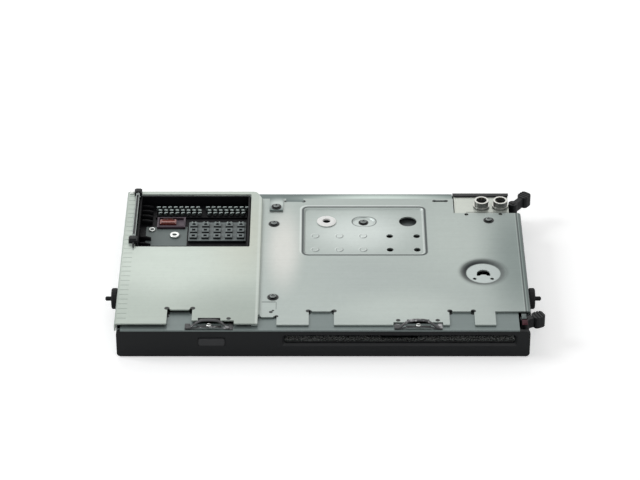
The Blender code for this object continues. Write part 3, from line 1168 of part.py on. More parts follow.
def build_lock_lever():
    """Channel-section bar on two pins, held by a black cap at each end."""
    far = FAR_CAP_Y - CAP_LENGTH / 2 - CLEARANCE
    near = NEAR_CAP_Y + CAP_LENGTH / 2 + CLEARANCE
    left, right = LEVER_X - LEVER_HALF_WIDTH, LEVER_X + LEVER_HALF_WIDTH
    low, high = LEVER_Z - LEVER_HALF_HEIGHT, LEVER_Z + LEVER_HALF_HEIGHT
    channel = [(left, low), (right, low), (right, high), (right - LEVER_WALL, high),
               (right - LEVER_WALL, LEVER_Z), (left + LEVER_WALL, LEVER_Z), (left + LEVER_WALL, high),
               (left, high)]
    lever = node("lock_lever", Solid().prism(channel, near, far, "Y"), "bright_steel")
    pins = Solid()
    pins.cylinder(LEVER_X, LEVER_Z, LEVER_PIN, far - SHEET, far + LEVER_PIN_LENGTH, "Y", BORE_SIDES)
    pins.cylinder(LEVER_X, LEVER_Z, LEVER_PIN, near - LEVER_PIN_LENGTH, near + SHEET, "Y", BORE_SIDES)
    join(lever, pins)
    pivot("lock_lever_axis", (LEVER_X, (near + far) / 2, LEVER_Z), [lever])
    base = LEFT_COVER_HIGH + CLEARANCE
    for name, y, inward in (("lever_cap_near", NEAR_CAP_Y, 1), ("lever_cap_far", FAR_CAP_Y, -1)):
        outline = rectangle(LEVER_X - CAP_WIDTH / 2, LEVER_X + CAP_WIDTH / 2, base, base + CAP_HEIGHT)
        body = Solid().prism(rounded(outline, [0, 0, CAP_RADIUS, CAP_RADIUS]), y - CAP_LENGTH / 2,
                             y + CAP_LENGTH / 2, "Y")
        cap = node(name, body, "black_plastic")
        start, end = sorted((y, y + inward * CAP_LENGTH))
        cut(cap, Solid().cylinder(LEVER_X, LEVER_Z, LEVER_PIN + CLEARANCE, start, end, "Y", BORE_SIDES))


# Antenna sockets
SOCKET_RADIUS = 0.0040
SOCKET_BORE = 0.0030
SOCKET_RIM = 0.0046
SOCKET_PITCH = 0.0107
SOCKET_TOP = 0.0222
SOCKET_LOW = 0.0136
SOCKET_FLANGE = 0.0008
CONTACT_RADIUS = 0.0006
CONTACT_TOP_DROP = 0.0020
BRACKET_INSET = 0.0006
BRACKET_LAP = 0.0100       # how far the bracket runs on under the right cover
BRACKET_LIP = 0.0050
SOCKET_FAR_INSET = 0.0131
SOCKET_RIGHT_INSET = 0.0112
BRACKET_RIGHT = FAR_CORNER_X - CLEARANCE
SOCKET_Y = FAR - SOCKET_FAR_INSET
SOCKET_XS = (RIGHT - SOCKET_RIGHT_INSET - SOCKET_PITCH, RIGHT - SOCKET_RIGHT_INSET)


def build_antenna():
    """Tin-plated bracket with two coaxial sockets, each with a contact in its insulator."""
    left = ANTENNA_LEFT + BRACKET_INSET
    near = ANTENNA_NEAR - BRACKET_LAP
    far = FAR_INSIDE - CLEARANCE
    plate = Solid().box(left, BRACKET_RIGHT, near, far, RAIL_LOW, RAIL_HIGH)
    bracket = node("antenna_bracket", plate, "tin_plate")
    join(bracket, Solid().box(left, BRACKET_RIGHT, far - SHEET, far, RAIL_LOW - BRACKET_LIP,
                              RAIL_LOW + SHEET / 2))
    holes = Solid()
    for x in SOCKET_XS:
        holes.cylinder(x, SOCKET_Y, SOCKET_RADIUS + CLEARANCE, RAIL_LOW - SHEET, RAIL_HIGH + OVERRUN)
    holes.cylinder(*face_place(COVER_SCREW_SHARES[2]), COVER_SCREW_BORE, RAIL_LOW - SHEET,
                   RAIL_HIGH + OVERRUN, sides=BORE_SIDES)
    cut(bracket, holes)
    flange = RAIL_HIGH + CLEARANCE
    for side, x in zip(("left", "right"), SOCKET_XS):
        socket = Solid().turned([(SOCKET_BORE, SOCKET_LOW), (SOCKET_RADIUS, SOCKET_LOW),
                                 (SOCKET_RADIUS, flange), (SOCKET_RIM, flange),
                                 (SOCKET_RIM, flange + SOCKET_FLANGE),
                                 (SOCKET_RADIUS, flange + SOCKET_FLANGE), (SOCKET_RADIUS, SOCKET_TOP),
                                 (SOCKET_BORE, SOCKET_TOP)], x, SOCKET_Y)
        node("antenna_socket_" + side, socket, "bright_steel")
        core = SOCKET_BORE - CLEARANCE
        tip = SOCKET_TOP - CONTACT_TOP_DROP
        contact = Solid().turned([(0, SOCKET_LOW), (core, SOCKET_LOW), (core, flange),
                                  (CONTACT_RADIUS, flange), (CONTACT_RADIUS, tip), (0, tip)], x, SOCKET_Y,
                                 sides=BORE_SIDES)
        node("antenna_contact_" + side, contact, "gold_contact")


# Gears
LOADING_MODULE = 0.0006
FEED_MODULE = 0.0008
BACKLASH_SHARE = 0.30      # of a tooth's nominal thickness
ADDENDUM_SHARE = 0.72      # of the module
DEDENDUM_SHARE = 1.10
FLANK_SLOPE = math.tan(math.radians(20))
ROLLER_TEETH = 9
IDLER_TEETH = 15
PINION_TEETH = 8
FEED_TEETH = 12
GEAR_FACE = 0.0034


def gear_outline(u, v, teeth, module, phase):
    """Teeth with straight flanks round a pitch circle. One tooth points at the angle phase."""
    pitch_radius = teeth * module / 2
    addendum, dedendum = ADDENDUM_SHARE * module, DEDENDUM_SHARE * module
    half = math.pi * module / 4 * (1 - BACKLASH_SHARE)
    tip, root = pitch_radius + addendum, pitch_radius - dedendum
    tip_angle = (half - addendum * FLANK_SLOPE) / tip
    root_angle = (half + dedendum * FLANK_SLOPE) / root
    root_angle = min(root_angle, math.pi / teeth * (1 - BACKLASH_SHARE / 2))
    points = []
    for tooth in range(teeth):
        middle = phase + 2 * math.pi * tooth / teeth
        for radius, angle in ((root, -root_angle), (tip, -tip_angle), (tip, tip_angle), (root, root_angle)):
            points.append((u + radius * math.cos(middle + angle), v + radius * math.sin(middle + angle)))
    return points


def meshing_phase(teeth, phase, mate_teeth, direction):
    """The phase of the mate that lies in the given direction, so that the two gears mesh."""
    pitch = 2 * math.pi / teeth
    offset = (phase - direction + pitch / 2) % pitch - pitch / 2
    gap = direction + math.pi - offset * teeth / mate_teeth
    return gap + math.pi / mate_teeth


# Loading roller and its train
ROLLER_WAIST_RADIUS = 0.0026
ROLLER_END_RADIUS = 0.0036
ROLLER_GAP = 0.0003        # from the roller to the disc's path
ROLLER_SHAFT = 0.0014
ROLLER_Y_INSET = 0.0064    # axis from the near wall's inside
SLEEVE_LENGTH_SHARE = 0.42
BRACKET_SHEET = 0.0016
BRACKET_FOOT = 0.0060
BRACKET_RISE = 0.0030      # plate above the idler axle
IDLER_ANGLE = math.radians(45)
MOTOR_RADIUS = 0.0044
MOTOR_LENGTH = 0.0110
MOTOR_SHAFT = 0.00075
MOTOR_SHAFT_HOLE = 0.0015
IDLER_AXLE = 0.0010
ROLLER_Y = TRAY_NEAR_INSIDE + ROLLER_Y_INSET
ROLLER_Z = PATH_LOW - ROLLER_GAP - ROLLER_END_RADIUS
ROLLER_TO_IDLER = (ROLLER_TEETH + IDLER_TEETH) * LOADING_MODULE / 2
IDLER_TO_PINION = (IDLER_TEETH + PINION_TEETH) * LOADING_MODULE / 2
IDLER_Y = ROLLER_Y + ROLLER_TO_IDLER * math.cos(IDLER_ANGLE)
IDLER_Z = ROLLER_Z + ROLLER_TO_IDLER * math.sin(IDLER_ANGLE)
PINION_Y = IDLER_Y + IDLER_TO_PINION
PINION_Z = IDLER_Z
BRACKET_FAR_X = PATH_LEFT - 2 * CLEARANCE
BRACKET_NEAR_X = BRACKET_FAR_X - BRACKET_SHEET
GEAR_RIGHT = BRACKET_NEAR_X - CLEARANCE
GEAR_LEFT = GEAR_RIGHT - GEAR_FACE


def build_loading_train():
    """Roller with its gear, idler and motor pinion, all on axes along X."""
    roller_phase = IDLER_ANGLE
    idler_phase = meshing_phase(ROLLER_TEETH, roller_phase, IDLER_TEETH, IDLER_ANGLE)
    pinion_phase = meshing_phase(IDLER_TEETH, idler_phase, PINION_TEETH, 0)
    right_end = PATH_RIGHT + BRACKET_SHEET + 2 * CLEARANCE
    roller = node("loading_roller", Solid().cylinder(ROLLER_Y, ROLLER_Z, ROLLER_SHAFT, GEAR_LEFT, right_end,
                                                     "X", BORE_SIDES), "bright_steel")
    join(roller, Solid().prism(gear_outline(ROLLER_Y, ROLLER_Z, ROLLER_TEETH, LOADING_MODULE, roller_phase),
                               GEAR_LEFT, GEAR_RIGHT, "X"))
    sleeves = Solid()
    length = PATH_WIDTH * SLEEVE_LENGTH_SHARE
    for start, end in ((PATH_LEFT + CLEARANCE, PATH_LEFT + length),
                       (PATH_RIGHT - CLEARANCE, PATH_RIGHT - length)):
        sleeves.turned([(0, start), (ROLLER_END_RADIUS, start), (ROLLER_WAIST_RADIUS, end), (0, end)],
                       ROLLER_Y, ROLLER_Z, "X", BORE_SIDES)
    join(roller, sleeves)
    pivot("loading_roller_axis", (DISC_X, ROLLER_Y, ROLLER_Z), [roller])
    teeth = gear_outline(IDLER_Y, IDLER_Z, IDLER_TEETH, LOADING_MODULE, idler_phase)
    idler = node("idler_gear", Solid().prism(teeth, GEAR_LEFT, GEAR_RIGHT, "X"), "white_plastic")
    cut(idler, Solid().cylinder(IDLER_Y, IDLER_Z, IDLER_AXLE + CLEARANCE, GEAR_LEFT - OVERRUN,
                                GEAR_RIGHT + OVERRUN, "X", BORE_SIDES))
    pivot("idler_gear_axis", (GEAR_LEFT, IDLER_Y, IDLER_Z), [idler])
    teeth = gear_outline(PINION_Y, PINION_Z, PINION_TEETH, LOADING_MODULE, pinion_phase)
    pinion = node("motor_pinion", Solid().prism(teeth, GEAR_LEFT, GEAR_RIGHT, "X"), "white_plastic")
    cut(pinion, Solid().cylinder(PINION_Y, PINION_Z, MOTOR_SHAFT + CLEARANCE, GEAR_LEFT - OVERRUN,
                                 GEAR_RIGHT + OVERRUN, "X", BORE_SIDES))
    pivot("motor_pinion_axis", (GEAR_LEFT, PINION_Y, PINION_Z), [pinion])
    can = WALL_LEFT - CLEARANCE
    motor = Solid().turned([(0, can - MOTOR_LENGTH), (MOTOR_RADIUS, can - MOTOR_LENGTH), (MOTOR_RADIUS, can),
                            (MOTOR_SHAFT, can), (MOTOR_SHAFT, GEAR_RIGHT), (0, GEAR_RIGHT)], PINION_Y,
                           PINION_Z, "X")
    node("loading_motor", motor, "bright_steel")


def build_roller_brackets():
    """Two upright plates that carry the roller's shaft. The left one also holds the idler's axle."""
    near = ROLLER_Y - BRACKET_FOOT / 2
    tall = IDLER_Z + BRACKET_RISE
    left = [(near, FLOOR), (IDLER_Y + BRACKET_FOOT / 2, FLOOR), (IDLER_Y + BRACKET_FOOT / 2, tall),
            (IDLER_Y - BRACKET_FOOT / 2, tall), (near, ROLLER_Z + BRACKET_FOOT / 2)]
    right = [(near, FLOOR), (near + BRACKET_FOOT, FLOOR), (near + BRACKET_FOOT, ROLLER_Z + BRACKET_FOOT / 2),
             (near, ROLLER_Z + BRACKET_FOOT / 2)]
    right_x = PATH_RIGHT + 2 * CLEARANCE
    for name, outline, start in (("roller_bracket_left", left, BRACKET_NEAR_X),
                                 ("roller_bracket_right", right, right_x)):
        plate = node(name, Solid().prism(outline, start, start + BRACKET_SHEET, "X"), "grey_plastic")
        if start == BRACKET_NEAR_X:
            join(plate, Solid().cylinder(IDLER_Y, IDLER_Z, IDLER_AXLE, GEAR_LEFT - CLEARANCE,
                                         BRACKET_FAR_X - BRACKET_SHEET / 2, "X", BORE_SIDES))
        cut(plate, Solid().cylinder(ROLLER_Y, ROLLER_Z, ROLLER_SHAFT + CLEARANCE, start - SHEET,
                                    start + BRACKET_SHEET + SHEET, "X", BORE_SIDES))


# Deck, spindle and pickup
DECK_NEAR_INSET = 0.0145   # from the near wall's inside
DECK_FAR_INSET = 0.0062
DECK_LEFT_GAP = 0.0005
DAMPER_RADIUS = 0.0045
DAMPER_INSET = 0.0075
SPINDLE_RADIUS = 0.0110
SPINDLE_HEIGHT = 0.0033
SPINDLE_SHAFT = 0.0015
TURNTABLE_RADIUS = 0.0140
TURNTABLE_SHEET = 0.0006
BOSS_HUB_RADIUS = 0.0072
BOSS_TAPER = 0.0003
INNER_TRACK = 0.0245
OUTER_TRACK = 0.0580
SLED_LENGTH = 0.0150
ROD_RADIUS = 0.0007
ROD_SPREAD = 0.0150
SLED_MARGIN = 0.0035
SLED_LOW_GAP = 0.0005
SLED_HEIGHT = 0.0027
LENS_RADIUS = 0.0028
LENS_RING = 0.0042
LENS_HEIGHT = 0.0004
RACK_BACK = 0.0030
RACK_FACE = 0.0016
RACK_ENGAGE = 0.0030
PINION_ALONG = 0.0310      # feed pinion from the disc's centre
FEED_MOTOR_RADIUS = 0.0055
FEED_SHAFT = 0.0008
HOLDER_LENGTH = 0.0026
HOLDER_SIDE = 0.0036
DECK_LEFT = PATH_LEFT + DECK_LEFT_GAP
DECK_RIGHT = INSIDE_X - 2 * CLEARANCE
DECK_NEAR = TRAY_NEAR_INSIDE + DECK_NEAR_INSET
DECK_FAR = FAR_INSIDE - DECK_FAR_INSET
DECK_HIGH = DECK_LEVEL + SHEET
DECK_SEAT = DECK_HIGH + CLEARANCE
SLED_TRAVEL = OUTER_TRACK - INNER_TRACK
SLED_X = DISC_X + INNER_TRACK
SLED_LOW = DECK_SEAT + SLED_LOW_GAP
SLED_HIGH = SLED_LOW + SLED_HEIGHT
ROD_Z = (SLED_LOW + SLED_HIGH) / 2
ROD_YS = (DISC_Y - ROD_SPREAD, DISC_Y + ROD_SPREAD)
SLED_NEAR = ROD_YS[0] - SLED_MARGIN
RACK_PITCH_Y = SLED_NEAR - RACK_BACK
FEED_X = DISC_X + PINION_ALONG
FEED_Y = RACK_PITCH_Y - FEED_TEETH * FEED_MODULE / 2
ROD_LEFT = SLED_X - SLED_LENGTH / 2 - CLEARANCE - HOLDER_LENGTH
ROD_RIGHT = DECK_RIGHT


def build_deck():
    """Deck plate with its four feet and the rods' holders, cut back at the far clip's corner."""
    corner_x = RIGHT - BLOCK_LEFT_INSET - 2 * CLEARANCE
    corner_y = ANTENNA_NEAR - 2 * CLEARANCE
    outline = [(DECK_LEFT, DECK_NEAR), (DECK_RIGHT, DECK_NEAR), (DECK_RIGHT, corner_y), (corner_x, corner_y),
               (corner_x, DECK_FAR), (DECK_LEFT, DECK_FAR)]
    deck = node("mechanism_deck", Solid().prism(rounded(outline, PANEL_RADIUS), DECK_LEVEL, DECK_HIGH),
                "grey_steel")
    feet = Solid()
    for x in (DECK_LEFT + DAMPER_INSET, corner_x - DAMPER_INSET):
        for y in (DECK_NEAR + DAMPER_INSET, DECK_FAR - DAMPER_INSET):
            feet.cylinder(x, y, DAMPER_RADIUS, FLOOR, DECK_LEVEL + SHEET / 2)
    join(deck, feet)
    holders = Solid()
    for y in ROD_YS:
        for start in (ROD_LEFT, ROD_RIGHT - HOLDER_LENGTH):
            holders.box(start, start + HOLDER_LENGTH, y - HOLDER_SIDE / 2, y + HOLDER_SIDE / 2,
                        DECK_LEVEL + SHEET / 2, ROD_Z + HOLDER_SIDE / 2)
    join(deck, holders)
    bores = Solid()
    for y in ROD_YS:
        bores.cylinder(y, ROD_Z, ROD_RADIUS + CLEARANCE, ROD_LEFT - OVERRUN, ROD_RIGHT + OVERRUN, "X",
                       BORE_SIDES)
    return cut(deck, bores)


def build_spindle():
    """Flat spindle motor and the turntable on its shaft."""
    top = DECK_SEAT + SPINDLE_HEIGHT
    hub_top = PATH_LOW - CLEARANCE
    motor = Solid().turned([(0, DECK_SEAT), (SPINDLE_RADIUS, DECK_SEAT), (SPINDLE_RADIUS, top),
                            (SPINDLE_SHAFT, top), (SPINDLE_SHAFT, hub_top), (0, hub_top)], DISC_X, DISC_Y)
    node("spindle_motor", motor, "bright_steel")
    low = top + CLEARANCE
    bore = SPINDLE_SHAFT + CLEARANCE
    seat = low + TURNTABLE_SHEET
    table = Solid().turned([(bore, low), (TURNTABLE_RADIUS, low), (TURNTABLE_RADIUS, seat),
                            (BOSS_HUB_RADIUS, seat), (BOSS_HUB_RADIUS, hub_top - BOSS_TAPER),
                            (BOSS_HUB_RADIUS - BOSS_TAPER, hub_top), (bore, hub_top)], DISC_X, DISC_Y)
    pivot("turntable_axis", (DISC_X, DISC_Y, low), [node("turntable", table, "black_plastic")])


def rack_outline():
    """Back of the rack and its teeth. A gap faces the pinion's tooth at rest."""
    pitch = math.pi * FEED_MODULE
    addendum, dedendum = ADDENDUM_SHARE * FEED_MODULE, DEDENDUM_SHARE * FEED_MODULE
    half = pitch / 4 * (1 - BACKLASH_SHARE)
    start, end = FEED_X - SLED_TRAVEL - RACK_ENGAGE, FEED_X + RACK_ENGAGE
    root, tip = RACK_PITCH_Y + dedendum, RACK_PITCH_Y - addendum
    count_left = int((FEED_X - start - half * 2) / pitch)
    count_right = int((end - FEED_X - half * 2) / pitch)
    outline = [(start, root)]
    for index in range(-count_left, count_right + 1):
        middle = FEED_X + (2 * index + 1) * pitch / 2
        if middle + 2 * half > end:
            break
        if middle - 2 * half < start:
            continue
        wide, slim = half + dedendum * FLANK_SLOPE, half - addendum * FLANK_SLOPE
        outline += [(middle - wide, root), (middle - slim, tip), (middle + slim, tip), (middle + wide, root)]
    back = SLED_NEAR + CLEARANCE
    return outline + [(end, root), (end, back), (start, back)]


def build_pickup():
    """Sled on two rods, with its rack, lens and the feed pinion that drives it."""
    left, right = SLED_X - SLED_LENGTH / 2, SLED_X + SLED_LENGTH / 2
    far = ROD_YS[1] + SLED_MARGIN
    body = rounded([(left, SLED_NEAR), (right, SLED_NEAR), (right, far), (left, far)], SHEET)
    sled = node("pickup_sled", Solid().prism(body, SLED_LOW, SLED_HIGH), "black_plastic")
    rack_low = ROD_Z - RACK_FACE / 2
    join(sled, Solid().prism(rack_outline(), rack_low, rack_low + RACK_FACE))
    bores = Solid()
    for y in ROD_YS:
        bores.cylinder(y, ROD_Z, ROD_RADIUS + CLEARANCE, left - OVERRUN, right + OVERRUN, "X", BORE_SIDES)
    cut(sled, bores)
    lens_low = SLED_HIGH + CLEARANCE
    lens = node("pickup_lens", Solid().turned(
        [(0, lens_low), (LENS_RING, lens_low), (LENS_RING, lens_low + LENS_HEIGHT / 2),
         (LENS_RADIUS, lens_low + LENS_HEIGHT / 2), (LENS_RADIUS / 2, lens_low + LENS_HEIGHT),
         (0, lens_low + LENS_HEIGHT)], SLED_X, DISC_Y, sides=BORE_SIDES), "clear_lens")
    pivot("pickup_axis", (SLED_X, DISC_Y, ROD_Z), [sled, lens])
    for name, y in zip(("guide_rod_near", "guide_rod_far"), ROD_YS):
        node(name, Solid().cylinder(y, ROD_Z, ROD_RADIUS, ROD_LEFT + CLEARANCE, ROD_RIGHT - CLEARANCE, "X",
                                    BORE_SIDES), "bright_steel")


def build_feed_drive():
    """Flat feed motor on the deck and the pinion on its shaft, in mesh with the sled's rack."""
    pinion_low, pinion_high = ROD_Z - RACK_FACE / 2, ROD_Z + RACK_FACE / 2
    can = pinion_low - CLEARANCE
    motor = Solid().turned([(0, DECK_SEAT), (FEED_MOTOR_RADIUS, DECK_SEAT), (FEED_MOTOR_RADIUS, can),
                            (FEED_SHAFT, can), (FEED_SHAFT, pinion_high), (0, pinion_high)], FEED_X, FEED_Y)
    node("feed_motor", motor, "bright_steel")
    outline = gear_outline(FEED_X, FEED_Y, FEED_TEETH, FEED_MODULE, math.pi / 2)
    pinion = node("feed_pinion", Solid().prism(outline, pinion_low, pinion_high), "white_plastic")
    cut(pinion, Solid().cylinder(FEED_X, FEED_Y, FEED_SHAFT + CLEARANCE, ROD_Z - OVERRUN, ROD_Z + OVERRUN,
                                 sides=BORE_SIDES))
    pivot("feed_pinion_axis", (FEED_X, FEED_Y, ROD_Z), [pinion])


# Clamp arm and upper guide
ARM_LOW_GAP = 0.0017       # arm above the path, over the puck's flange
ARM_WIDTH = 0.0260
ARM_ROOT_WIDTH = 0.0320
ARM_TIP = 0.0150           # arm beyond the disc's centre
ARM_PIN = 0.0010
ARM_PIN_LENGTH = 0.0030
ARM_PIN_BOSS = 0.0016
ARM_PIVOT_INSET = 0.0088   # axis from the far wall's inside
PUCK_RADIUS = 0.0130
PUCK_NECK = 0.0050
PUCK_CAP = 0.0075
PUCK_FLANGE = 0.0011
PUCK_CAP_SHEET = 0.0006
EAR_SHEET = 0.0012
EAR_SIDE = 0.0044
GUIDE_SHEET = 0.0010
GUIDE_DEPTH = 0.0120
GUIDE_RIB = 0.0014
GUIDE_NEAR_GAP = 0.0009
ARM_LOW = PATH_HIGH + ARM_LOW_GAP
ARM_HIGH = ARM_LOW + SHEET
ARM_Y = FAR_INSIDE - ARM_PIVOT_INSET
ARM_Z = (ARM_LOW + ARM_HIGH) / 2


def build_clamp():
    """Arm hinged at the far wall, the puck that turns in it, and the bracket with the hinge's ears."""
    low = PATH_HIGH + CLEARANCE
    tip = DISC_Y - ARM_TIP
    root = ARM_Y + ARM_PIN_BOSS
    shoulder = ARM_Y - ARM_WIDTH / 2
    neck = ARM_Y - ARM_PIN_BOSS
    slim, wide = ARM_WIDTH / 2, ARM_ROOT_WIDTH / 2
    outline = rounded([(DISC_X - slim, tip), (DISC_X + slim, tip), (DISC_X + slim, shoulder),
                       (DISC_X + wide, neck), (DISC_X + wide, root), (DISC_X - wide, root),
                       (DISC_X - wide, neck), (DISC_X - slim, shoulder)], SHEET)
    arm = node("clamp_arm", Solid().prism(outline, ARM_LOW, ARM_HIGH), "grey_steel")
    half = ARM_ROOT_WIDTH / 2 + ARM_PIN_LENGTH
    join(arm, Solid().cylinder(ARM_Y, ARM_Z, ARM_PIN, DISC_X - half, DISC_X + half, "X", BORE_SIDES))
    cut(arm, Solid().cylinder(DISC_X, DISC_Y, PUCK_NECK + CLEARANCE, ARM_LOW - OVERRUN, ARM_HIGH + OVERRUN))
    cap = ARM_HIGH + CLEARANCE
    puck = node("clamp_puck", Solid().turned(
        [(0, low), (PUCK_RADIUS, low), (PUCK_RADIUS, low + PUCK_FLANGE), (PUCK_NECK, low + PUCK_FLANGE),
         (PUCK_NECK, cap), (PUCK_CAP, cap), (PUCK_CAP, cap + PUCK_CAP_SHEET), (0, cap + PUCK_CAP_SHEET)],
        DISC_X, DISC_Y), "black_plastic")
    pivot("clamp_arm_axis", (DISC_X, ARM_Y, ARM_Z), [arm])
    pivot("clamp_puck_axis", (DISC_X, DISC_Y, low), [puck])
    plate_far = FAR_INSIDE - CLEARANCE
    plate_near = plate_far - SHEET
    ear = ARM_ROOT_WIDTH / 2 + CLEARANCE
    outer = ear + EAR_SHEET
    level_low, level_high = ARM_Z - EAR_SIDE / 2, TRAY_TOP - CLEARANCE
    bracket = node("clamp_bracket", Solid().box(DISC_X - outer, DISC_X + outer, plate_near, plate_far, FLOOR,
                                                level_high), "dark_steel")
    ears, bores = Solid(), Solid()
    for side in (-1, 1):
        start, end = sorted((DISC_X + side * ear, DISC_X + side * outer))
        ears.box(start, end, ARM_Y - EAR_SIDE / 2, plate_far - SHEET / 2, level_low, level_high)
    bores.cylinder(ARM_Y, ARM_Z, ARM_PIN + CLEARANCE, DISC_X - outer - OVERRUN, DISC_X + outer + OVERRUN,
                   "X", BORE_SIDES)
    join(bracket, ears)
    cut(bracket, bores)


def build_disc_guide():
    """Upper guide behind the slot: a plate above the path, hung from the near rail on two ribs."""
    near = TRAY_NEAR_INSIDE + GUIDE_NEAR_GAP
    left, right = PATH_LEFT + CLEARANCE, PATH_RIGHT - CLEARANCE
    low = PATH_HIGH + CLEARANCE
    top = RAIL_LOW - CLEARANCE
    lead = low + GUIDE_SHEET
    profile = [(near, low + GUIDE_SHEET / 2), (near + GUIDE_SHEET, low), (near + GUIDE_DEPTH, low),
               (near + GUIDE_DEPTH, lead), (near + GUIDE_SHEET + GUIDE_RIB, lead),
               (near + GUIDE_SHEET + GUIDE_RIB, top), (near + GUIDE_SHEET, top), (near + GUIDE_SHEET, lead),
               (near, lead)]
    node("upper_disc_guide", Solid().prism(profile, left, right, "X"), "black_plastic")


def main():
    for old in list(bpy.data.objects):
        bpy.data.objects.remove(old, do_unlink=True)
    build_tray()
    build_left_cover()
    build_right_cover()
    build_near_rail()
    build_far_rail()
    build_centre_wall()
    build_bezel()
    build_slot_felt()
    build_eject_switch(build_eject_button())
    build_leaf_spring("leaf_spring_left", LEFT_SPRING_X)
    build_leaf_spring("leaf_spring_right", RIGHT_SPRING_X)
    build_cover_screws()
    build_panel_fittings()
    build_side_boss("side_boss_left", -1)
    build_side_boss("side_boss_right", 1)
    build_corner_block("corner_block_near", TRAY_NEAR_INSIDE + CLEARANCE, NOTCH_FAR - CLEARANCE,
                       NEAR_PIVOT_Y)
    build_corner_block("corner_block_far", ANTENNA_NEAR + CLEARANCE, FAR_INSIDE - CLEARANCE, FAR_PIVOT_Y)
    build_clip("clip_near", NEAR_PIVOT_Y, NEAR_REACH, NEAR_ANGLE)
    build_clip("clip_far", FAR_PIVOT_Y, FAR_REACH, FAR_ANGLE)
    build_board()
    build_connector()
    build_lock_lever()
    build_antenna()
    build_loading_train()
    build_roller_brackets()
    build_deck()
    build_spindle()
    build_pickup()
    build_feed_drive()
    build_clamp()
    build_disc_guide()


main()
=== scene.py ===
# %% [markdown]
# A slim in-dash disc player, seen on its large sheet-metal face. The imported model gives every
# sub-part its shape and place. This script dresses it: each sub-part gets a finish, and small
# pieces whose forms the solids only hint at are modelled around them. Lengths are in
# metres, in the frame of the imported model.

# %% Load the imported model
import math

import bpy
import bmesh
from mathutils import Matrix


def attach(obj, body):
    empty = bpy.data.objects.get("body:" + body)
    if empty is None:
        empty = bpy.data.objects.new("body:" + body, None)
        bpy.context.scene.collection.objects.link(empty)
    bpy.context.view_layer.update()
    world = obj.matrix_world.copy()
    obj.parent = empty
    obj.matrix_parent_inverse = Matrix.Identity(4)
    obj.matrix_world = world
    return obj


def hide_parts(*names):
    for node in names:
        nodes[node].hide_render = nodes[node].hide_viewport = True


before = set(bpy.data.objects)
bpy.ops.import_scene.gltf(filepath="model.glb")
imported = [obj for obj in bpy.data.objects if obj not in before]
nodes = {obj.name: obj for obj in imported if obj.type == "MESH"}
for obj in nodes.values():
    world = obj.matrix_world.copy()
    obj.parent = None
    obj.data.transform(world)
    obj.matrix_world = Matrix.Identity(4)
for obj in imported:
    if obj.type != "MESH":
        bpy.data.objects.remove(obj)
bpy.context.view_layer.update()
scene = bpy.context.scene
bpy.ops.object.select_all(action="DESELECT")

# %% [markdown]
# The photograph was taken with a long lens, from the near side and a third of a right angle above
# the face. The near and far edges of the case come out 420 and 390 pixels wide, which sets how
# far away the camera stands.

# %% Camera
CAMERA_PLACE = (0.0, -1.28456, 0.88121)
CAMERA_TILT = math.radians(56.5)
LENS, SENSOR = 157.14, 36.0
SIDE_SHIFT = -0.005
FARTHEST = 20.0

bpy.ops.object.camera_add(location=CAMERA_PLACE, rotation=(CAMERA_TILT, 0.0, 0.0))
camera = bpy.context.object
camera.name = "camera"
camera.data.lens = LENS
camera.data.sensor_width = SENSOR
camera.data.shift_x = SIDE_SHIFT
camera.data.clip_end = FARTHEST
scene.camera = camera
scene.view_settings.view_transform = "Standard"
print("camera", tuple(round(v, 3) for v in camera.location))

# %% [markdown]
# Bare metal shows its surroundings more than its own colour, so the lamps matter. A broad one
# behind the case gives the sheets their soft sheen. The strongest stands at the left, so the shadow
# falls to the right, and a wide one on the near side keeps the front readable.

# %% Lamps
LAMPS = [
    # name, place, size, power, colour
    ("back_lamp", (-0.25, 1.10, 1.00), 0.90, 2.6, (1.0, 0.99, 0.97)),
    ("left_lamp", (-1.20, 0.10, 1.00), 0.60, 8.5, (0.97, 0.99, 1.0)),
    ("near_lamp", (0.50, -1.30, 1.20), 1.00, 4.5, (1.0, 1.0, 1.0)),
]


def add_lamp(name, place, size, power, colour):
    bpy.ops.object.light_add(type="AREA", location=place)
    lamp = bpy.context.object
    lamp.name = name
    lamp.data.size = size
    lamp.data.energy = power
    lamp.data.color = colour
    lamp.rotation_euler = lamp.location.to_track_quat("Z", "Y").to_euler()


for lamp_facts in LAMPS:
    add_lamp(*lamp_facts)
print("lamps", len(LAMPS))

# %% [markdown]
# Shader maths reads best as plain arithmetic. A Flow is a value on its way through a material:
# adding, multiplying or comparing Flows adds the Math nodes that do it.

# %% A helper for materials
class Flow:
    """The output of a node, with arithmetic that adds Math nodes."""

    def __init__(self, graph, socket):
        self.graph = graph
        self.socket = socket

    def maths(self, operation, *values, clamp=False):
        return self.graph.add("ShaderNodeMath", {"operation": operation, "use_clamp": clamp},
                              dict(enumerate(values)))

    def __add__(self, other):
        return self.maths("ADD", self, other)

    def __radd__(self, other):
        return self.maths("ADD", other, self)

    def __sub__(self, other):
        return self.maths("SUBTRACT", self, other)

    def __rsub__(self, other):
        return self.maths("SUBTRACT", other, self)

    def __mul__(self, other):
        return self.maths("MULTIPLY", self, other)

    def __rmul__(self, other):
        return self.maths("MULTIPLY", other, self)

    def __truediv__(self, other):
        return self.maths("DIVIDE", self, other)

    def __abs__(self):
        return self.maths("ABSOLUTE", self)

    def __mod__(self, other):
        return self.maths("MODULO", self, other)

    def most(self, other):
        return self.maths("MAXIMUM", self, other)

    def least(self, other):
        return self.maths("MINIMUM", self, other)

    def root(self):
        return self.maths("SQRT", self)

    def over(self, low, high):
        """0 below low, 1 above high, and a smooth climb between them."""
        return self.graph.add("ShaderNodeMapRange", {"interpolation_type": "SMOOTHSTEP"},
                              {"Value": self, "From Min": low, "From Max": high})

    def clamp(self):
        return self.maths("ADD", self, 0.0, clamp=True)


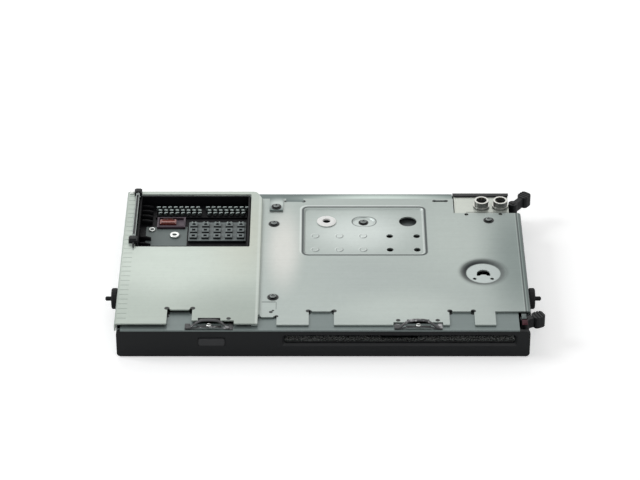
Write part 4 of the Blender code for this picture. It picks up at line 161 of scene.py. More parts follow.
class Graph:
    """A material's nodes. add() is the one way a node gets in."""

    def __init__(self, name):
        self.material = bpy.data.materials.new(name)
        self.material.use_nodes = True
        self.tree = self.material.node_tree
        self.shader = self.tree.nodes["Principled BSDF"]
        self.place = self.add("ShaderNodeTexCoord", {}, {}, "Object")

    def add(self, kind, settings, values, output=0):
        node = self.tree.nodes.new(kind)
        for key, value in settings.items():
            setattr(node, key, value)
        for key, value in values.items():
            if isinstance(value, Flow):
                self.tree.links.new(value.socket, node.inputs[key])
            elif value is not None:
                node.inputs[key].default_value = value
        return Flow(self, node.outputs[output])

    def axis(self, letter):
        """The object's X, Y or Z place, in metres."""
        return self.add("ShaderNodeSeparateXYZ", {}, {0: self.place}, letter)

    def stretched(self, along_x, along_y, along_z):
        return self.add("ShaderNodeVectorMath", {"operation": "MULTIPLY"},
                        {0: self.place, 1: (along_x, along_y, along_z)})

    def noise(self, scale, detail=3.0, rough=0.55, vector=None):
        return self.add("ShaderNodeTexNoise", {}, {"Vector": vector or self.place, "Scale": scale,
                                                   "Detail": detail, "Roughness": rough})

    def cells(self, scale, output="Distance"):
        return self.add("ShaderNodeTexVoronoi", {}, {"Vector": self.place, "Scale": scale}, output)

    def scaled(self, colour, factor):
        return self.add("ShaderNodeVectorMath", {"operation": "SCALE"},
                        {0: colour, "Scale": factor})

    def upward(self):
        """1 where the surface looks up, 0 where it looks sideways, and -1 where it looks down."""
        normal = self.add("ShaderNodeNewGeometry", {}, {}, "Normal")
        return self.add("ShaderNodeSeparateXYZ", {}, {0: normal}, "Z")

    def mix(self, amount, first, second):
        """Between two colours, by an amount from 0 to 1."""
        ends = [(*value, 1.0) if isinstance(value, tuple) else value for value in (first, second)]
        return self.add("ShaderNodeMix", {"data_type": "RGBA"},
                        {0: amount, 6: ends[0], 7: ends[1]}, 2)

    def bump(self, height, strength, distance):
        normal = self.add("ShaderNodeBump", {}, {"Height": height, "Strength": strength,
                                                 "Distance": distance})
        self.tree.links.new(normal.socket, self.shader.inputs["Normal"])

    def finish(self, **values):
        """Puts values or flows on the shader's own sockets."""
        for key, value in values.items():
            socket = self.shader.inputs[key.replace("_", " ")]
            if isinstance(value, Flow):
                self.tree.links.new(value.socket, socket)
            else:
                socket.default_value = (*value, 1.0) if isinstance(value, tuple) else value
        return self.material


print("material helper ready")

# %% [markdown]
# The covers are zinc-plated steel. Up close the plating has a fine rolled grain along the sheet,
# faint crystals, and broad clouds where the passivation runs thicker. Soft patches make some areas
# of a sheet lighter and others darker, each at its own place. Painted shade and painted highlight
# lines along fine folds and round the panel's dimples, dark painted shade in small relief holes and
# slits, and painted shadow rings under the screws are drawn by the material too, which is less
# work than a cut in the sheet for each.

# %% Zinc-plated sheet
def outline_mask(x, y, outline, width):
    """1 on the line of a rounded rectangle: middle x and y, half width and depth, corner radius."""
    middle_x, middle_y, half_x, half_y, radius = outline
    over_x = abs(x - middle_x) - (half_x - radius)
    over_y = abs(y - middle_y) - (half_y - radius)
    out_x, out_y = over_x.most(0.0), over_y.most(0.0)
    reach = (out_x * out_x + out_y * out_y).root() + over_x.most(over_y).least(0.0) - radius
    return 1.0 - abs(reach).over(width * 0.3, width)


def distance(across, along):
    """How far a place is from a middle, by its two offsets from it."""
    return (across * across + along * along).root()


# Painted shade for relief holes and slits, and painted shadow round the screws.
HOLE_SHADE = (0.005, 0.006, 0.006)
DISH_SHADE = (0.012, 0.016, 0.017)
DISH_FLAT = (0.52, 0.57, 0.56)
# Painted shade for the dark line of a crease, and a painted highlight for its lit side.
CREASE_SHADE = (0.045, 0.055, 0.055)
CREASE_HIGHLIGHT = (0.72, 0.76, 0.74)
GRAIN_STRETCH = (18.0, 1100.0, 1100.0)
STREAK_STRETCH = (40.0, 420.0, 420.0)


def dished(graph, base, x, y, dish):
    """The pale flat of a dish, and the shade on the wall round it, deepest at the far left."""
    middle_x, middle_y, flat = dish
    reach = distance(x - middle_x, y - middle_y)
    lit = 0.80 + ((y - middle_y) - (x - middle_x)) * 14.0
    wall = reach.over(flat, flat + 0.0004) * (1.0 - reach.over(flat + 0.0009, flat + 0.0056))
    base = graph.mix((1.0 - reach.over(flat - 0.0003, flat)) * 0.6, base, DISH_FLAT)
    return graph.mix((wall * lit).clamp(), base, DISH_SHADE)


def zinc_sheet(name, colour, patches=(), shaded_creases=(), bend_shading=(), shade_dots=(), dish=None, clouds=0.16,
               rough=0.40):
    """Rolled and plated steel.

    A patch is (x, y, half width, half depth, colour, strength). A shaded crease is (outline, width,
    strength, shift of its light side): a painted shade line, with a painted highlight beside it
    where it is shifted. A line of bend shading, from near to far, is (x, width, colour, strength):
    painted shade or a painted highlight along a fold. A shade dot, painted shade in a relief hole
    or slit or a painted shadow ring under a screw, is (x, y, radius), and the dish is (x, y, radius
    of its flat).
    """
    graph = Graph(name)
    rolled = graph.noise(1.0, 5.0, vector=graph.stretched(*GRAIN_STRETCH))
    streak = graph.noise(1.0, 4.0, vector=graph.stretched(*STREAK_STRETCH))
    cloud = graph.noise(16.0, 4.0, 0.6)
    crystal = graph.cells(520.0, "Color")
    speck = graph.noise(900.0, 2.0).over(0.66, 0.74)
    tone = 1.0 + (rolled - 0.5) * 0.10 + (cloud - 0.5) * clouds + (crystal - 0.5) * 0.035
    base = colour
    x, y = graph.axis("X"), graph.axis("Y")
    for middle_x, middle_y, half_width, half_depth, patch_colour, strength in patches:
        reach = distance((x - middle_x) / half_width, (y - middle_y) / half_depth)
        base = graph.mix((1.0 - reach.over(0.15, 1.0)) * strength, base, patch_colour)
    if dish:
        base = dished(graph, base, x, y, dish)
    # Each dot is painted shade: a dark spot for a relief hole or slit, or a painted shadow ring
    # round a screw.
    for dot_x, dot_y, radius in shade_dots:
        spot = 1.0 - distance(x - dot_x, y - dot_y).over(radius * 0.75, radius)
        base = graph.mix(spot * 0.97, base, HOLE_SHADE)
    # Each crease is a painted shade line, and one with a shift gets a painted highlight beside it.
    for outline, width, strength, shift in shaded_creases:
        if shift:
            painted_highlight = outline_mask(x + shift, y - shift, outline, width)
            base = graph.mix(painted_highlight * 0.45, base, CREASE_HIGHLIGHT)
        base = graph.mix(outline_mask(x, y, outline, width) * strength, base, CREASE_SHADE)
    # Each bend line is painted shade or a painted highlight along a fold.
    for bend_x, width, shading_colour, strength in bend_shading:
        line = 1.0 - abs(x - bend_x).over(width * 0.3, width)
        base = graph.mix(line * strength, base, shading_colour)
    graph.bump(rolled * 0.6 + crystal * 0.4 + cloud * 0.5, 0.18, 0.00002)
    return graph.finish(Base_Color=graph.scaled(base, tone - speck * 0.10), Metallic=0.50,
                        Roughness=(rough + (cloud - 0.5) * 0.16 + (streak - 0.5) * 0.12).clamp())


LEFT_PATCHES = [
    (-0.048, 0.020, 0.030, 0.060, (0.45, 0.46, 0.39), 0.60),
    (-0.085, -0.005, 0.060, 0.050, (0.55, 0.61, 0.56), 0.65),
    (-0.045, -0.060, 0.060, 0.045, (0.28, 0.32, 0.29), 0.75),
    (-0.108, -0.055, 0.040, 0.040, (0.36, 0.41, 0.37), 0.60),
]
RIGHT_PATCHES = [
    (-0.022, 0.010, 0.014, 0.055, (0.60, 0.60, 0.57), 0.80),
    (0.020, -0.015, 0.040, 0.030, (0.33, 0.37, 0.36), 0.50),
    (0.045, -0.050, 0.050, 0.025, (0.45, 0.50, 0.47), 0.60),
    (0.075, 0.020, 0.030, 0.060, (0.44, 0.49, 0.46), 0.50),
    (0.108, 0.000, 0.026, 0.090, (0.17, 0.21, 0.20), 0.80),
    (0.020, 0.028, 0.040, 0.030, (0.60, 0.65, 0.63), 0.70),
]
FAR_RAIL_PATCHES = [
    (0.0330, 0.0630, 0.0600, 0.0060, (0.52, 0.60, 0.56), 1.0),
    (-0.0620, 0.0660, 0.0300, 0.0060, (0.40, 0.46, 0.43), 0.9),
    (-0.0255, 0.0540, 0.0090, 0.0080, (0.44, 0.49, 0.47), 1.0),
]
THIN = 0.0001              # half the depth of an outline that is drawn as one line
# Painted shade lines, some with a painted highlight beside them.
RIGHT_SHADED_CREASES = [
    # the panel's edge, the oval dish, two lines at the near left corner, two slits on the far side
    ((0.02305, 0.02780, 0.03450, 0.02450, 0.0032), 0.00100, 0.97, 0.0011),
    ((0.0231, 0.0383, 0.0068, 0.0049, 0.0048), 0.0005, 0.70, 0.0),
    ((-0.0295, -0.0425, 0.0036, THIN, THIN), 0.0004, 0.80, 0.0),
    ((-0.0254, -0.0460, THIN, 0.0034, THIN), 0.0003, 0.40, 0.0),
    ((-0.0164, 0.0583, 0.0048, THIN, THIN), 0.0006, 0.95, 0.0),
    ((0.0667, 0.0590, 0.0036, THIN, THIN), 0.0005, 0.90, 0.0),
]
# The dimples' rings are painted shade, each with a painted highlight beside it.
DIMPLE = 0.0020
for dimple_y in (0.0234, 0.0097):
    for dimple_x in (-0.0043, 0.0092, 0.0224):
        RIGHT_SHADED_CREASES.append(((dimple_x, dimple_y, DIMPLE, DIMPLE, DIMPLE), 0.00045, 0.42, 0.0004))
# A painted shade line on the antenna bracket.
BRACKET_SHADED_CREASES = [((0.0934, 0.0485, 0.0120, THIN, THIN), 0.0004, 0.7, 0.0)]
# Painted shade in the gap between the covers, and a painted highlight on the left cover's bent
# edge.
LEFT_BEND_SHADING = [
    (-0.0346, 0.0005, (0.15, 0.17, 0.16), 0.8),
    (-0.0360, 0.0009, (0.52, 0.56, 0.53), 0.5),
]
# A painted highlight and painted shade lines along the right cover's folded edge.
RIGHT_BEND_SHADING = [
    (0.1086, 0.0003, (0.50, 0.54, 0.52), 0.25),
    (0.1094, 0.0006, (0.03, 0.04, 0.04), 0.8),
    (0.1108, 0.0008, (0.10, 0.13, 0.125), 0.8),
    (0.1120, 0.0007, (0.03, 0.04, 0.04), 0.8),
]
# Painted shade dots for relief holes and slits, and painted shadow rings under the screws.
LEFT_SHADE_DOTS = [(-0.0842, -0.0500, 0.0016), (-0.0703, -0.0500, 0.0016), (-0.0507, -0.0596, 0.0014)]
RIGHT_SHADE_DOTS = [
    # the near left corner, the notches on the near side, both ends of the right spring
    (-0.0251, -0.0560, 0.0012), (-0.0282, -0.0520, 0.0012), (-0.0271, -0.0506, 0.0008),
    (-0.0080, -0.0510, 0.0016), (0.0059, -0.0510, 0.0016), (0.0682, -0.0510, 0.0016),
    (0.0809, -0.0510, 0.0016), (0.0402, -0.0597, 0.0014), (0.0614, -0.0597, 0.0014),
    # the right slit, the near edge of the round dish, the antenna plate, the left slit
    (0.0634, 0.0586, 0.0013), (0.0701, 0.0586, 0.0013), (0.0830, -0.0187, 0.0011),
    (0.0925, -0.0187, 0.0011), (0.0812, 0.0446, 0.0013), (0.1005, 0.0449, 0.0013),
    (-0.0112, 0.0583, 0.0014), (-0.0214, 0.0583, 0.0010),
    # painted shadow rings under the screws
    (-0.0277, 0.0347, 0.0036), (-0.0273, -0.0380, 0.0036), (0.0935, 0.0384, 0.0034),
]
# A painted shadow ring under the tongue's screw, and painted shade in the notches' relief holes.
TONGUE_SHADE_DOTS = [(-0.0266, 0.0508, 0.0031)]
NOTCH_SHADE_DOTS = [(-0.0838, -0.0518, 0.0015), (-0.0706, -0.0512, 0.0014), (-0.0838, -0.0545, 0.0012),
              (-0.0080, -0.0518, 0.0014), (0.0060, -0.0518, 0.0014), (0.0684, -0.0518, 0.0014),
              (0.0806, -0.0518, 0.0014)]
ROUND_DISH = (0.0881, -0.0136, 0.0093)

left_steel = zinc_sheet("left_cover_steel", (0.40, 0.45, 0.41), LEFT_PATCHES, bend_shading=LEFT_BEND_SHADING,
                        shade_dots=LEFT_SHADE_DOTS)
right_steel = zinc_sheet("right_cover_steel", (0.36, 0.405, 0.385), RIGHT_PATCHES, RIGHT_SHADED_CREASES,
                         RIGHT_BEND_SHADING, RIGHT_SHADE_DOTS, ROUND_DISH)
far_steel = zinc_sheet("far_rail_steel", (0.12, 0.155, 0.15), FAR_RAIL_PATCHES, shade_dots=TONGUE_SHADE_DOTS,
                       clouds=0.30)
dark_steel = zinc_sheet("rail_steel", (0.17, 0.205, 0.20), shade_dots=NOTCH_SHADE_DOTS, clouds=0.30, rough=0.46)
inner_steel = zinc_sheet("inner_steel", (0.075, 0.085, 0.085), clouds=0.20)
tin = zinc_sheet("tin_plate", (0.52, 0.55, 0.50), shaded_creases=BRACKET_SHADED_CREASES, rough=0.34)
print("sheet steels ready")

# %% [markdown]
# Small metal pieces: plated screws and sockets, tinned pins, gold contacts and blackened springs.
# All have the same make-up, a base with fine scratches, and differ in colour and gloss.

# %% Small metal pieces
GROOVE_SHADE = (0.020, 0.022, 0.022)
SCRATCH_STRETCH = (700.0, 2600.0, 1500.0)


def small_metal(name, colour, rough, metal, scratch=0.20, wear=(0.5, 0.5, 0.5), wear_share=0.0,
                side=None, groove_shade_level=None):
    """Plated metal with fine scratches.

    wear_share brings rubbed patches, side is a painted shade for what doesn't look up, and the
    groove level is the height under which the piece gets painted shade.
    """
    graph = Graph(name)
    fine = graph.noise(1.0, 4.0, vector=graph.stretched(*SCRATCH_STRETCH))
    stain = graph.noise(260.0, 4.0, 0.65)
    rubbed = stain.over(0.52, 0.70) * wear_share
    tone = 1.0 + (fine - 0.5) * scratch + (stain - 0.5) * 0.22
    base = graph.mix(rubbed, colour, wear)
    # Painted shade on what doesn't look up.
    if side:
        base = graph.mix(graph.upward().over(0.35, 0.80), side, base)
    # Painted shade below the groove level.
    if groove_shade_level:
        base = graph.mix(graph.axis("Z").over(groove_shade_level - 0.0002, groove_shade_level), GROOVE_SHADE, base)
    graph.bump(fine, 0.20, 0.00002)
    return graph.finish(Base_Color=graph.scaled(base, tone), Metallic=metal,
                        Roughness=(rough + (fine - 0.5) * 0.20 + (stain - 0.5) * 0.10).clamp())


nickel = small_metal("nickel_plate", (0.62, 0.64, 0.62), 0.26, 0.90)
# The bail's groove gets painted shade.
bail_steel = small_metal("bail_steel", (0.30, 0.33, 0.32), 0.32, 0.50, groove_shade_level=0.0219)
# The screws, the socket sleeves and the pins get painted shade on their sides.
screw_steel = small_metal("screw_steel", (0.20, 0.22, 0.215), 0.40, 0.40,
                          side=(0.012, 0.013, 0.013))
socket_steel = small_metal("socket_steel", (0.62, 0.62, 0.58), 0.28, 0.70,
                           side=(0.16, 0.165, 0.16))
gold = small_metal("gold_plate", (0.78, 0.58, 0.26), 0.28, 0.95)
spring_steel = small_metal("spring_steel", (0.060, 0.060, 0.065), 0.38, 0.65,
                           wear=(0.30, 0.30, 0.31), wear_share=0.55)
pin_tin = small_metal("pin_tin", (0.36, 0.42, 0.405), 0.34, 0.25, scratch=0.8,
                      side=(0.10, 0.12, 0.115))
leaf_steel = small_metal("leaf_steel", (0.035, 0.036, 0.038), 0.40, 0.35,
                         wear=(0.56, 0.56, 0.57), wear_share=0.7)
# Near-black oxide, also on pieces that stand for shade: the springs' webs and the screws' washers.
oxide_and_shade_black = small_metal("oxide_and_shade_black", (0.008, 0.009, 0.009), 0.50, 0.10)
print("small metals ready")

# %% [markdown]
# Moulded plastics are never a plain colour: the tool leaves an eroded texture, and dust gathers on
# what faces up. The fuse, its frame and the towers are paler from above than at their sides, so
# such a moulding gets a painted highlight, a second and paler colour, on its top.

# %% Moulded plastics
DUST = (0.30, 0.30, 0.29)


def moulded(name, colour, rough=0.50, texture=2200.0, dust=0.03, coat=0.0, lit_top=None,
            shine=0.25):
    """Plastic or rubber with an eroded texture, and dust or a painted highlight on what looks up.
    """
    graph = Graph(name)
    spark = graph.noise(texture, 3.0, 0.6)
    shade = graph.noise(70.0, 3.0)
    up = graph.upward()
    tone = 1.0 + (shade - 0.5) * 0.25 + (spark - 0.5) * 0.18
    # A painted highlight on what looks up.
    if lit_top:
        colour = graph.mix(up.over(0.55, 0.85) * (0.7 + shade * 0.3), colour, lit_top)
    dusty = up.over(0.35, 1.0) * shade.over(0.35, 0.75) * dust
    graph.bump(spark, 0.35, 0.00004)
    return graph.finish(Base_Color=graph.mix(dusty, graph.scaled(colour, tone), DUST),
                        Coat_Weight=coat, Specular_IOR_Level=shine,
                        Roughness=(rough + (spark - 0.5) * 0.16 + (shade - 0.5) * 0.12).clamp())


black_plastic = moulded("black_moulding", (0.008, 0.009, 0.010))
shell_plastic = moulded("connector_moulding", (0.003, 0.003, 0.004), 0.50, dust=0.0, shine=0.12)
grey_plastic = moulded("grey_moulding", (0.035, 0.036, 0.038))
white_plastic = moulded("white_moulding", (0.93, 0.93, 0.91), 0.45, dust=0.0)
# The purple frame, the red fuse and the grey towers get a painted highlight on their tops.
purple_plastic = moulded("purple_moulding", (0.022, 0.012, 0.018), 0.42, dust=0.0,
                         lit_top=(0.13, 0.10, 0.12))
red_plastic = moulded("fuse_red", (0.07, 0.006, 0.006), 0.24, 3500.0, 0.0, 0.4,
                      lit_top=(0.34, 0.10, 0.08))
rubber = moulded("boss_rubber", (0.008, 0.008, 0.009), 0.72, 1400.0, 0.03)
tower_grey = moulded("tower_grey", (0.020, 0.023, 0.024), 0.45, 700.0, lit_top=(0.19, 0.22, 0.22))
plate_grey = moulded("plate_grey", (0.15, 0.18, 0.175), 0.50, 1200.0)
maroon_rubber = moulded("maroon_rubber", (0.045, 0.006, 0.012), 0.60, 1400.0, 0.0)
print("plastics ready")

# %% [markdown]
# Inside the case lie a lacquered circuit board, a felt wiper behind the slot, and the lens.

# %% Board, felt and lens
def circuit_board(name):
    """Green lacquer over copper: traces in two directions, with round pads between them."""
    graph = Graph(name)
    x, y = graph.axis("X"), graph.axis("Y")
    bend = graph.noise(60.0, 1.0) * 0.006
    lane_x = abs((x + bend) / 0.0016 % 1.0 - 0.5)
    lane_y = abs((y + bend) / 0.0021 % 1.0 - 0.5)
    region = graph.noise(45.0, 1.0).over(0.49, 0.51)
    trace_x, trace_y = (1.0 - lane.over(0.16, 0.22) for lane in (lane_x, lane_y))
    trace = trace_x * region + trace_y * (1.0 - region)
    pad = 1.0 - graph.cells(230.0).over(0.20, 0.24)
    green = graph.mix(trace * 0.6, (0.012, 0.080, 0.035), (0.030, 0.150, 0.070))
    graph.bump(trace, 0.4, 0.00004)
    return graph.finish(Base_Color=graph.mix(pad, green, (0.62, 0.60, 0.52)),
                        Roughness=0.32 + pad * 0.1)


def felt_wiper(name):
    graph = Graph(name)
    fibre = graph.noise(1.0, 5.0, 0.7, graph.stretched(2500.0, 900.0, 5200.0))
    graph.bump(fibre, 0.3, 0.00004)
    tint = graph.mix(fibre.over(0.3, 0.8), (0.006, 0.006, 0.007), (0.014, 0.014, 0.016))
    return graph.finish(Base_Color=tint, Roughness=0.88 + fibre * 0.1, Sheen_Weight=0.1)


def coated_lens(name):
    graph = Graph(name)
    film = graph.noise(300.0, 2.0)
    tint = graph.mix(film.over(0.3, 0.7), (0.16, 0.22, 0.46), (0.30, 0.20, 0.44))
    return graph.finish(Base_Color=tint, Roughness=0.06 + film * 0.05, Coat_Weight=1.0)


board_green = circuit_board("board_lacquer")
felt = felt_wiper("slot_felt")
lens_glass = coated_lens("lens_glass")
print("board, felt and lens ready")

# %% [markdown]
# Every carried-over sub-part now gets its finish by name.

# %% Dress the sub-parts
FINISH_OF = [
    (left_steel, ["left_cover"]),
    (right_steel, ["right_cover"]),
    (dark_steel, ["chassis_tray", "near_rail", "centre_wall", "clamp_bracket"]),
    (far_steel, ["far_rail"]),
    (inner_steel, ["mechanism_deck", "clamp_arm"]),
    (spring_steel, ["leaf_spring_left", "leaf_spring_right"]),
    (nickel, ["cover_screw_far", "cover_screw_near", "cover_screw_antenna", "tongue_screw",
              "adjuster_screw", "ground_eyelet", "lock_lever", "loading_roller", "loading_motor",
              "spindle_motor", "guide_rod_near", "guide_rod_far", "feed_motor"]),
    (socket_steel, ["antenna_socket_left", "antenna_socket_right"]),
    (tin, ["antenna_bracket"]),
    (pin_tin, ["signal_header", "power_header"]),
    (black_plastic, ["front_bezel", "corner_block_near", "corner_block_far", "clip_near",
                     "clip_far", "amplifier_chip", "processor_chip", "lever_cap_near",
                     "lever_cap_far", "turntable", "pickup_sled", "clamp_puck",
                     "upper_disc_guide"]),
    (shell_plastic, ["connector_shell"]),
    (grey_plastic, ["eject_button", "eject_switch", "roller_bracket_left", "roller_bracket_right"]),
    (white_plastic, ["panel_bush", "idler_gear", "motor_pinion", "feed_pinion"]),
    (purple_plastic, ["fuse_holder"]),
    (red_plastic, ["fuse"]),
    (rubber, ["side_boss_left", "side_boss_right"]),
    (felt, ["slot_felt"]),
    (board_green, ["main_board"]),
    (gold, ["antenna_contact_left", "antenna_contact_right"]),
    (lens_glass, ["pickup_lens"]),
]


def dress(thing, material):
    thing.data.materials.clear()
    thing.data.materials.append(material)


for material, names in FINISH_OF:
    for name in names:
        dress(nodes[name], material)
print("dressed", sum(len(names) for material, names in FINISH_OF), "sub-parts")

# %% [markdown]
# The solids stay as they are where their shape is right. What follows are the small pieces that
# need more form: each starts from a primitive at its size and place, and is shaped in edit mode.
# These helpers deselect first, because an operator acts on everything that is selected.

# %% Helpers for modelling
FACING = 0.9               # how far a face's normal has to go along an axis to face that way
ROUND_SIDES = 32
UPRIGHT = (0.0, 0.0, 0.0)
ALONG_Y = (math.radians(90), 0.0, 0.0)
SMOOTH_ANGLE = math.radians(35.0)
SMALL_EDGE = 0.0001


def alone(thing):
    """Make one object the only selected one."""
    bpy.ops.object.select_all(action="DESELECT")
    thing.select_set(True)
    bpy.context.view_layer.objects.active = thing


def block(low, high):
    """A box between two corners, its place in its mesh."""
    bpy.ops.object.select_all(action="DESELECT")
    bpy.ops.mesh.primitive_cube_add(size=1.0, location=[(a + b) / 2 for a, b in zip(low, high)],
                                    scale=[b - a for a, b in zip(low, high)])
    bpy.ops.object.transform_apply(location=True, rotation=True, scale=True)
    return bpy.context.object


def drum(place, radius, depth, sides=ROUND_SIDES, turn=UPRIGHT):
    """A cylinder round its middle, upright unless it is turned."""
    bpy.ops.object.select_all(action="DESELECT")
    bpy.ops.mesh.primitive_cylinder_add(vertices=sides, radius=radius, depth=depth, location=place,
                                        rotation=turn)
    bpy.ops.object.transform_apply(location=True, rotation=True, scale=True)
    return bpy.context.object


def edit(thing, wanted):
    """Go to edit mode, with the faces selected whose middle and normal pass the test."""
    alone(thing)
    bpy.ops.object.mode_set(mode="EDIT")
    bpy.ops.mesh.select_mode(type="FACE")
    bpy.ops.mesh.select_all(action="DESELECT")
    form = bmesh.from_edit_mesh(thing.data)
    for face in form.faces:
        face.select_set(bool(wanted(face.calc_center_median(), face.normal)))
    bmesh.update_edit_mesh(thing.data)


def leave():
    bpy.ops.object.mode_set(mode="OBJECT")


def raise_by(x, y, z):
    """Extrude what is selected."""
    bpy.ops.mesh.extrude_region_move(TRANSFORM_OT_translate={"value": (x, y, z)})


def shift_by(x, y, z):
    """Move what is selected."""
    bpy.ops.transform.translate(value=(x, y, z))


def scale_to(factors, centre):
    """Scale what is selected about a place."""
    bpy.ops.transform.resize(value=factors, center_override=centre)


def facing_up(middle, normal):
    return normal.z > FACING


def facing_near(middle, normal):
    return normal.y < -FACING


def stepped_top(thing, *steps):
    """Inset the top and raise or sink what lies inside. A step is (rim, rise)."""
    edit(thing, facing_up)
    for rim, rise in steps:
        bpy.ops.mesh.inset(thickness=rim)
        raise_by(0.0, 0.0, rise)
    leave()


def domed_top(thing, *steps):
    """Inset the top and lift what lies inside, which leaves slopes. A step is (rim, rise)."""
    edit(thing, facing_up)
    for rim, rise in steps:
        bpy.ops.mesh.inset(thickness=rim)
        shift_by(0.0, 0.0, rise)
    leave()


def drawn_out(thing, wanted, move, factors, centre):
    """Pull faces out, and taper their end about a place."""
    edit(thing, wanted)
    raise_by(*move)
    scale_to(factors, centre)
    leave()


def soften(thing, width=SMALL_EDGE, segments=2, angle=40.0):
    """Round the edges that are sharper than an angle, as a mould or a press does."""
    alone(thing)
    edges = thing.modifiers.new("soft_edges", "BEVEL")
    edges.width, edges.segments, edges.limit_method = width, segments, "ANGLE"
    edges.angle_limit = math.radians(angle)
    bpy.ops.object.modifier_apply(modifier="soft_edges")


def cut_out(thing, cutter):
    """Take a cutter's shape out of a piece."""
    alone(thing)
    hole = thing.modifiers.new("cut", "BOOLEAN")
    hole.operation, hole.solver, hole.object = "DIFFERENCE", "EXACT", cutter
    bpy.ops.object.modifier_apply(modifier="cut")
    bpy.data.objects.remove(cutter)


def joined(things):
    alone(things[0])
    for thing in things:
        thing.select_set(True)
    bpy.ops.object.join()
    return bpy.context.object


def repeated(thing, offsets):
    """The piece at each offset, every copy with its own mesh, joined to one."""
    copies = []
    for offset in offsets:
        alone(thing)
        bpy.ops.object.duplicate(linked=False)
        shift_by(*offset)
        bpy.ops.object.transform_apply(location=True, rotation=True, scale=True)
        copies.append(bpy.context.object)
    bpy.data.objects.remove(thing)
    return joined(copies)


def hand_over(thing, name, material, body, slot, *stands_for):
    """Name, smooth and dress a piece, and say what it rides on and stands for."""
    alone(thing)
    thing.name = thing.data.name = name
    bpy.ops.object.transform_apply(location=True, rotation=True, scale=True)
    bpy.ops.object.shade_smooth_by_angle(angle=SMOOTH_ANGLE)
    dress(thing, material)
    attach(thing, body)
    if stands_for:
        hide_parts(*stands_for)
    print(name, len(thing.data.polygons), "faces")


# %% [markdown]
# Some levels are shared. Heights are above the table on which the case lies. A piece on a cover is
# seated a fiftieth of a millimetre above the sheet, so that no two faces share a plane.

# %% Shared levels
RECESS_SEAT = 0.0133
LEFT_SEAT, RIGHT_SEAT = 0.02002, 0.01892
print("levels: recess", RECESS_SEAT, "left cover", LEFT_SEAT, "right cover", RIGHT_SEAT)

# %% [markdown]
# Signal pins. They stand in three rows and two groups, in a black strip with a sunk top. The pins
# of the far row are the tallest and lean most. One pin is a small block whose top is pulled over
# and tapered, and the rest of its row are copies.

# %% Signal pins
PIN_WIDTH = 0.0017
PIN_PITCH = 0.0032
PIN_FOOT = 0.0139
GROUP_STARTS, PINS_IN_GROUP = (-0.0950, -0.0670), 8
KNEE_SPREAD, TIP_TAPER = (1.25, 0.9, 1.0), (0.45, 0.45, 1.0)
PIN_ROWS = [
    # y, level of the knee, rise above it, lean along x and y, shift along x, number of pins
    (0.0566, 0.0159, 0.0012, 0.0010, -0.0014, 0.0008, 16),
    (0.0518, 0.0149, 0.0013, 0.0010, -0.0010, 0.0019, 15),
    (0.0543, 0.0152, 0.0010, -0.0005, -0.0004, 0.0024, 15),
]


def bent_pin(y, knee, rise, lean_x, lean_y):
    """One pin: a square foot, a knee, and a tapered blade that leans over."""
    half = PIN_WIDTH / 2
    pin = block((-half, y - half, PIN_FOOT), (half, y + half, knee))
    edit(pin, facing_up)
    raise_by(lean_x / 2, lean_y / 2, rise / 2)
    scale_to(KNEE_SPREAD, (lean_x / 2, y + lean_y / 2, knee + rise / 2))
    raise_by(lean_x / 2, lean_y / 2, rise / 2)
    scale_to(TIP_TAPER, (lean_x, y + lean_y, knee + rise))
    leave()
    soften(pin, 0.00015)
    return pin


pin_places = [start + PIN_PITCH * index for start in GROUP_STARTS for index in range(PINS_IN_GROUP)]
pin_rows = []
for y, knee, rise, lean_x, lean_y, shift, count in PIN_ROWS:
    pin = bent_pin(y, knee, rise, lean_x, lean_y)
    pin_rows.append(repeated(pin, [(x + shift, 0.0, 0.0) for x in pin_places[:count]]))
hand_over(joined(pin_rows), "signal_pins", pin_tin, "case", "tin_plate")

strip = block((-0.0954, 0.0489, RECESS_SEAT), (-0.0434, 0.0586, 0.0140))
stepped_top(strip, (0.0006, -0.0003))
soften(strip)
hand_over(strip, "signal_strip", shell_plastic, "case", "black_plastic", "signal_header")

# %% [markdown]
# Power pins. Square towers stand in five columns and three rows. A tower is a block whose top is
# inset and pushed down to a deep well. Two thin blades for each column stand in the far wall of
# the far row.

# %% Power pins
TOWER = 0.0042
TOWER_FOOT, TOWER_TOP = 0.0143, 0.0158
WELL_WALL, WELL_FLOOR = 0.0012, 0.0144
TOWER_COLUMNS = [-0.07311 + 0.00665 * index for index in range(5)]
TOWER_ROWS = (0.0278, 0.0336, 0.0394)
BLADE_SHIFTS, BLADE_Y = (-0.0010, 0.0010), 0.0408


def power_tower():
    half = TOWER / 2
    body = block((-half, -half, TOWER_FOOT), (half, half, TOWER_TOP))
    stepped_top(body, (WELL_WALL, WELL_FLOOR - TOWER_TOP))
    soften(body, 0.00022)
    return body


towers = repeated(power_tower(), [(x, y, 0.0) for x in TOWER_COLUMNS for y in TOWER_ROWS])
power_floor = block((-0.0760, 0.0244, RECESS_SEAT), (-0.0436, 0.0432, WELL_FLOOR))
soften(power_floor, 0.0002)
hand_over(joined([power_floor, towers]), "power_towers", tower_grey, "case", "grey_plastic",
          "power_header")

blade = block((-0.0004, -0.0009, TOWER_FOOT), (0.0004, 0.0009, 0.0155))
drawn_out(blade, facing_up, (0.0, 0.0, 0.0005), (0.5, 0.6, 1.0), (0.0, 0.0, 0.0160))
blade_places = [(x + shift, BLADE_Y, 0.0001) for x in TOWER_COLUMNS for shift in BLADE_SHIFTS]
hand_over(repeated(blade, blade_places), "power_blades", pin_tin, "case", "tin_plate")

# %% [markdown]
# The blade fuse: a glossy red body whose top is raised, with a hollow in it, and whose near side is
# sunk. Its frame is a purple-grey moulding with a stepped rim round a well.

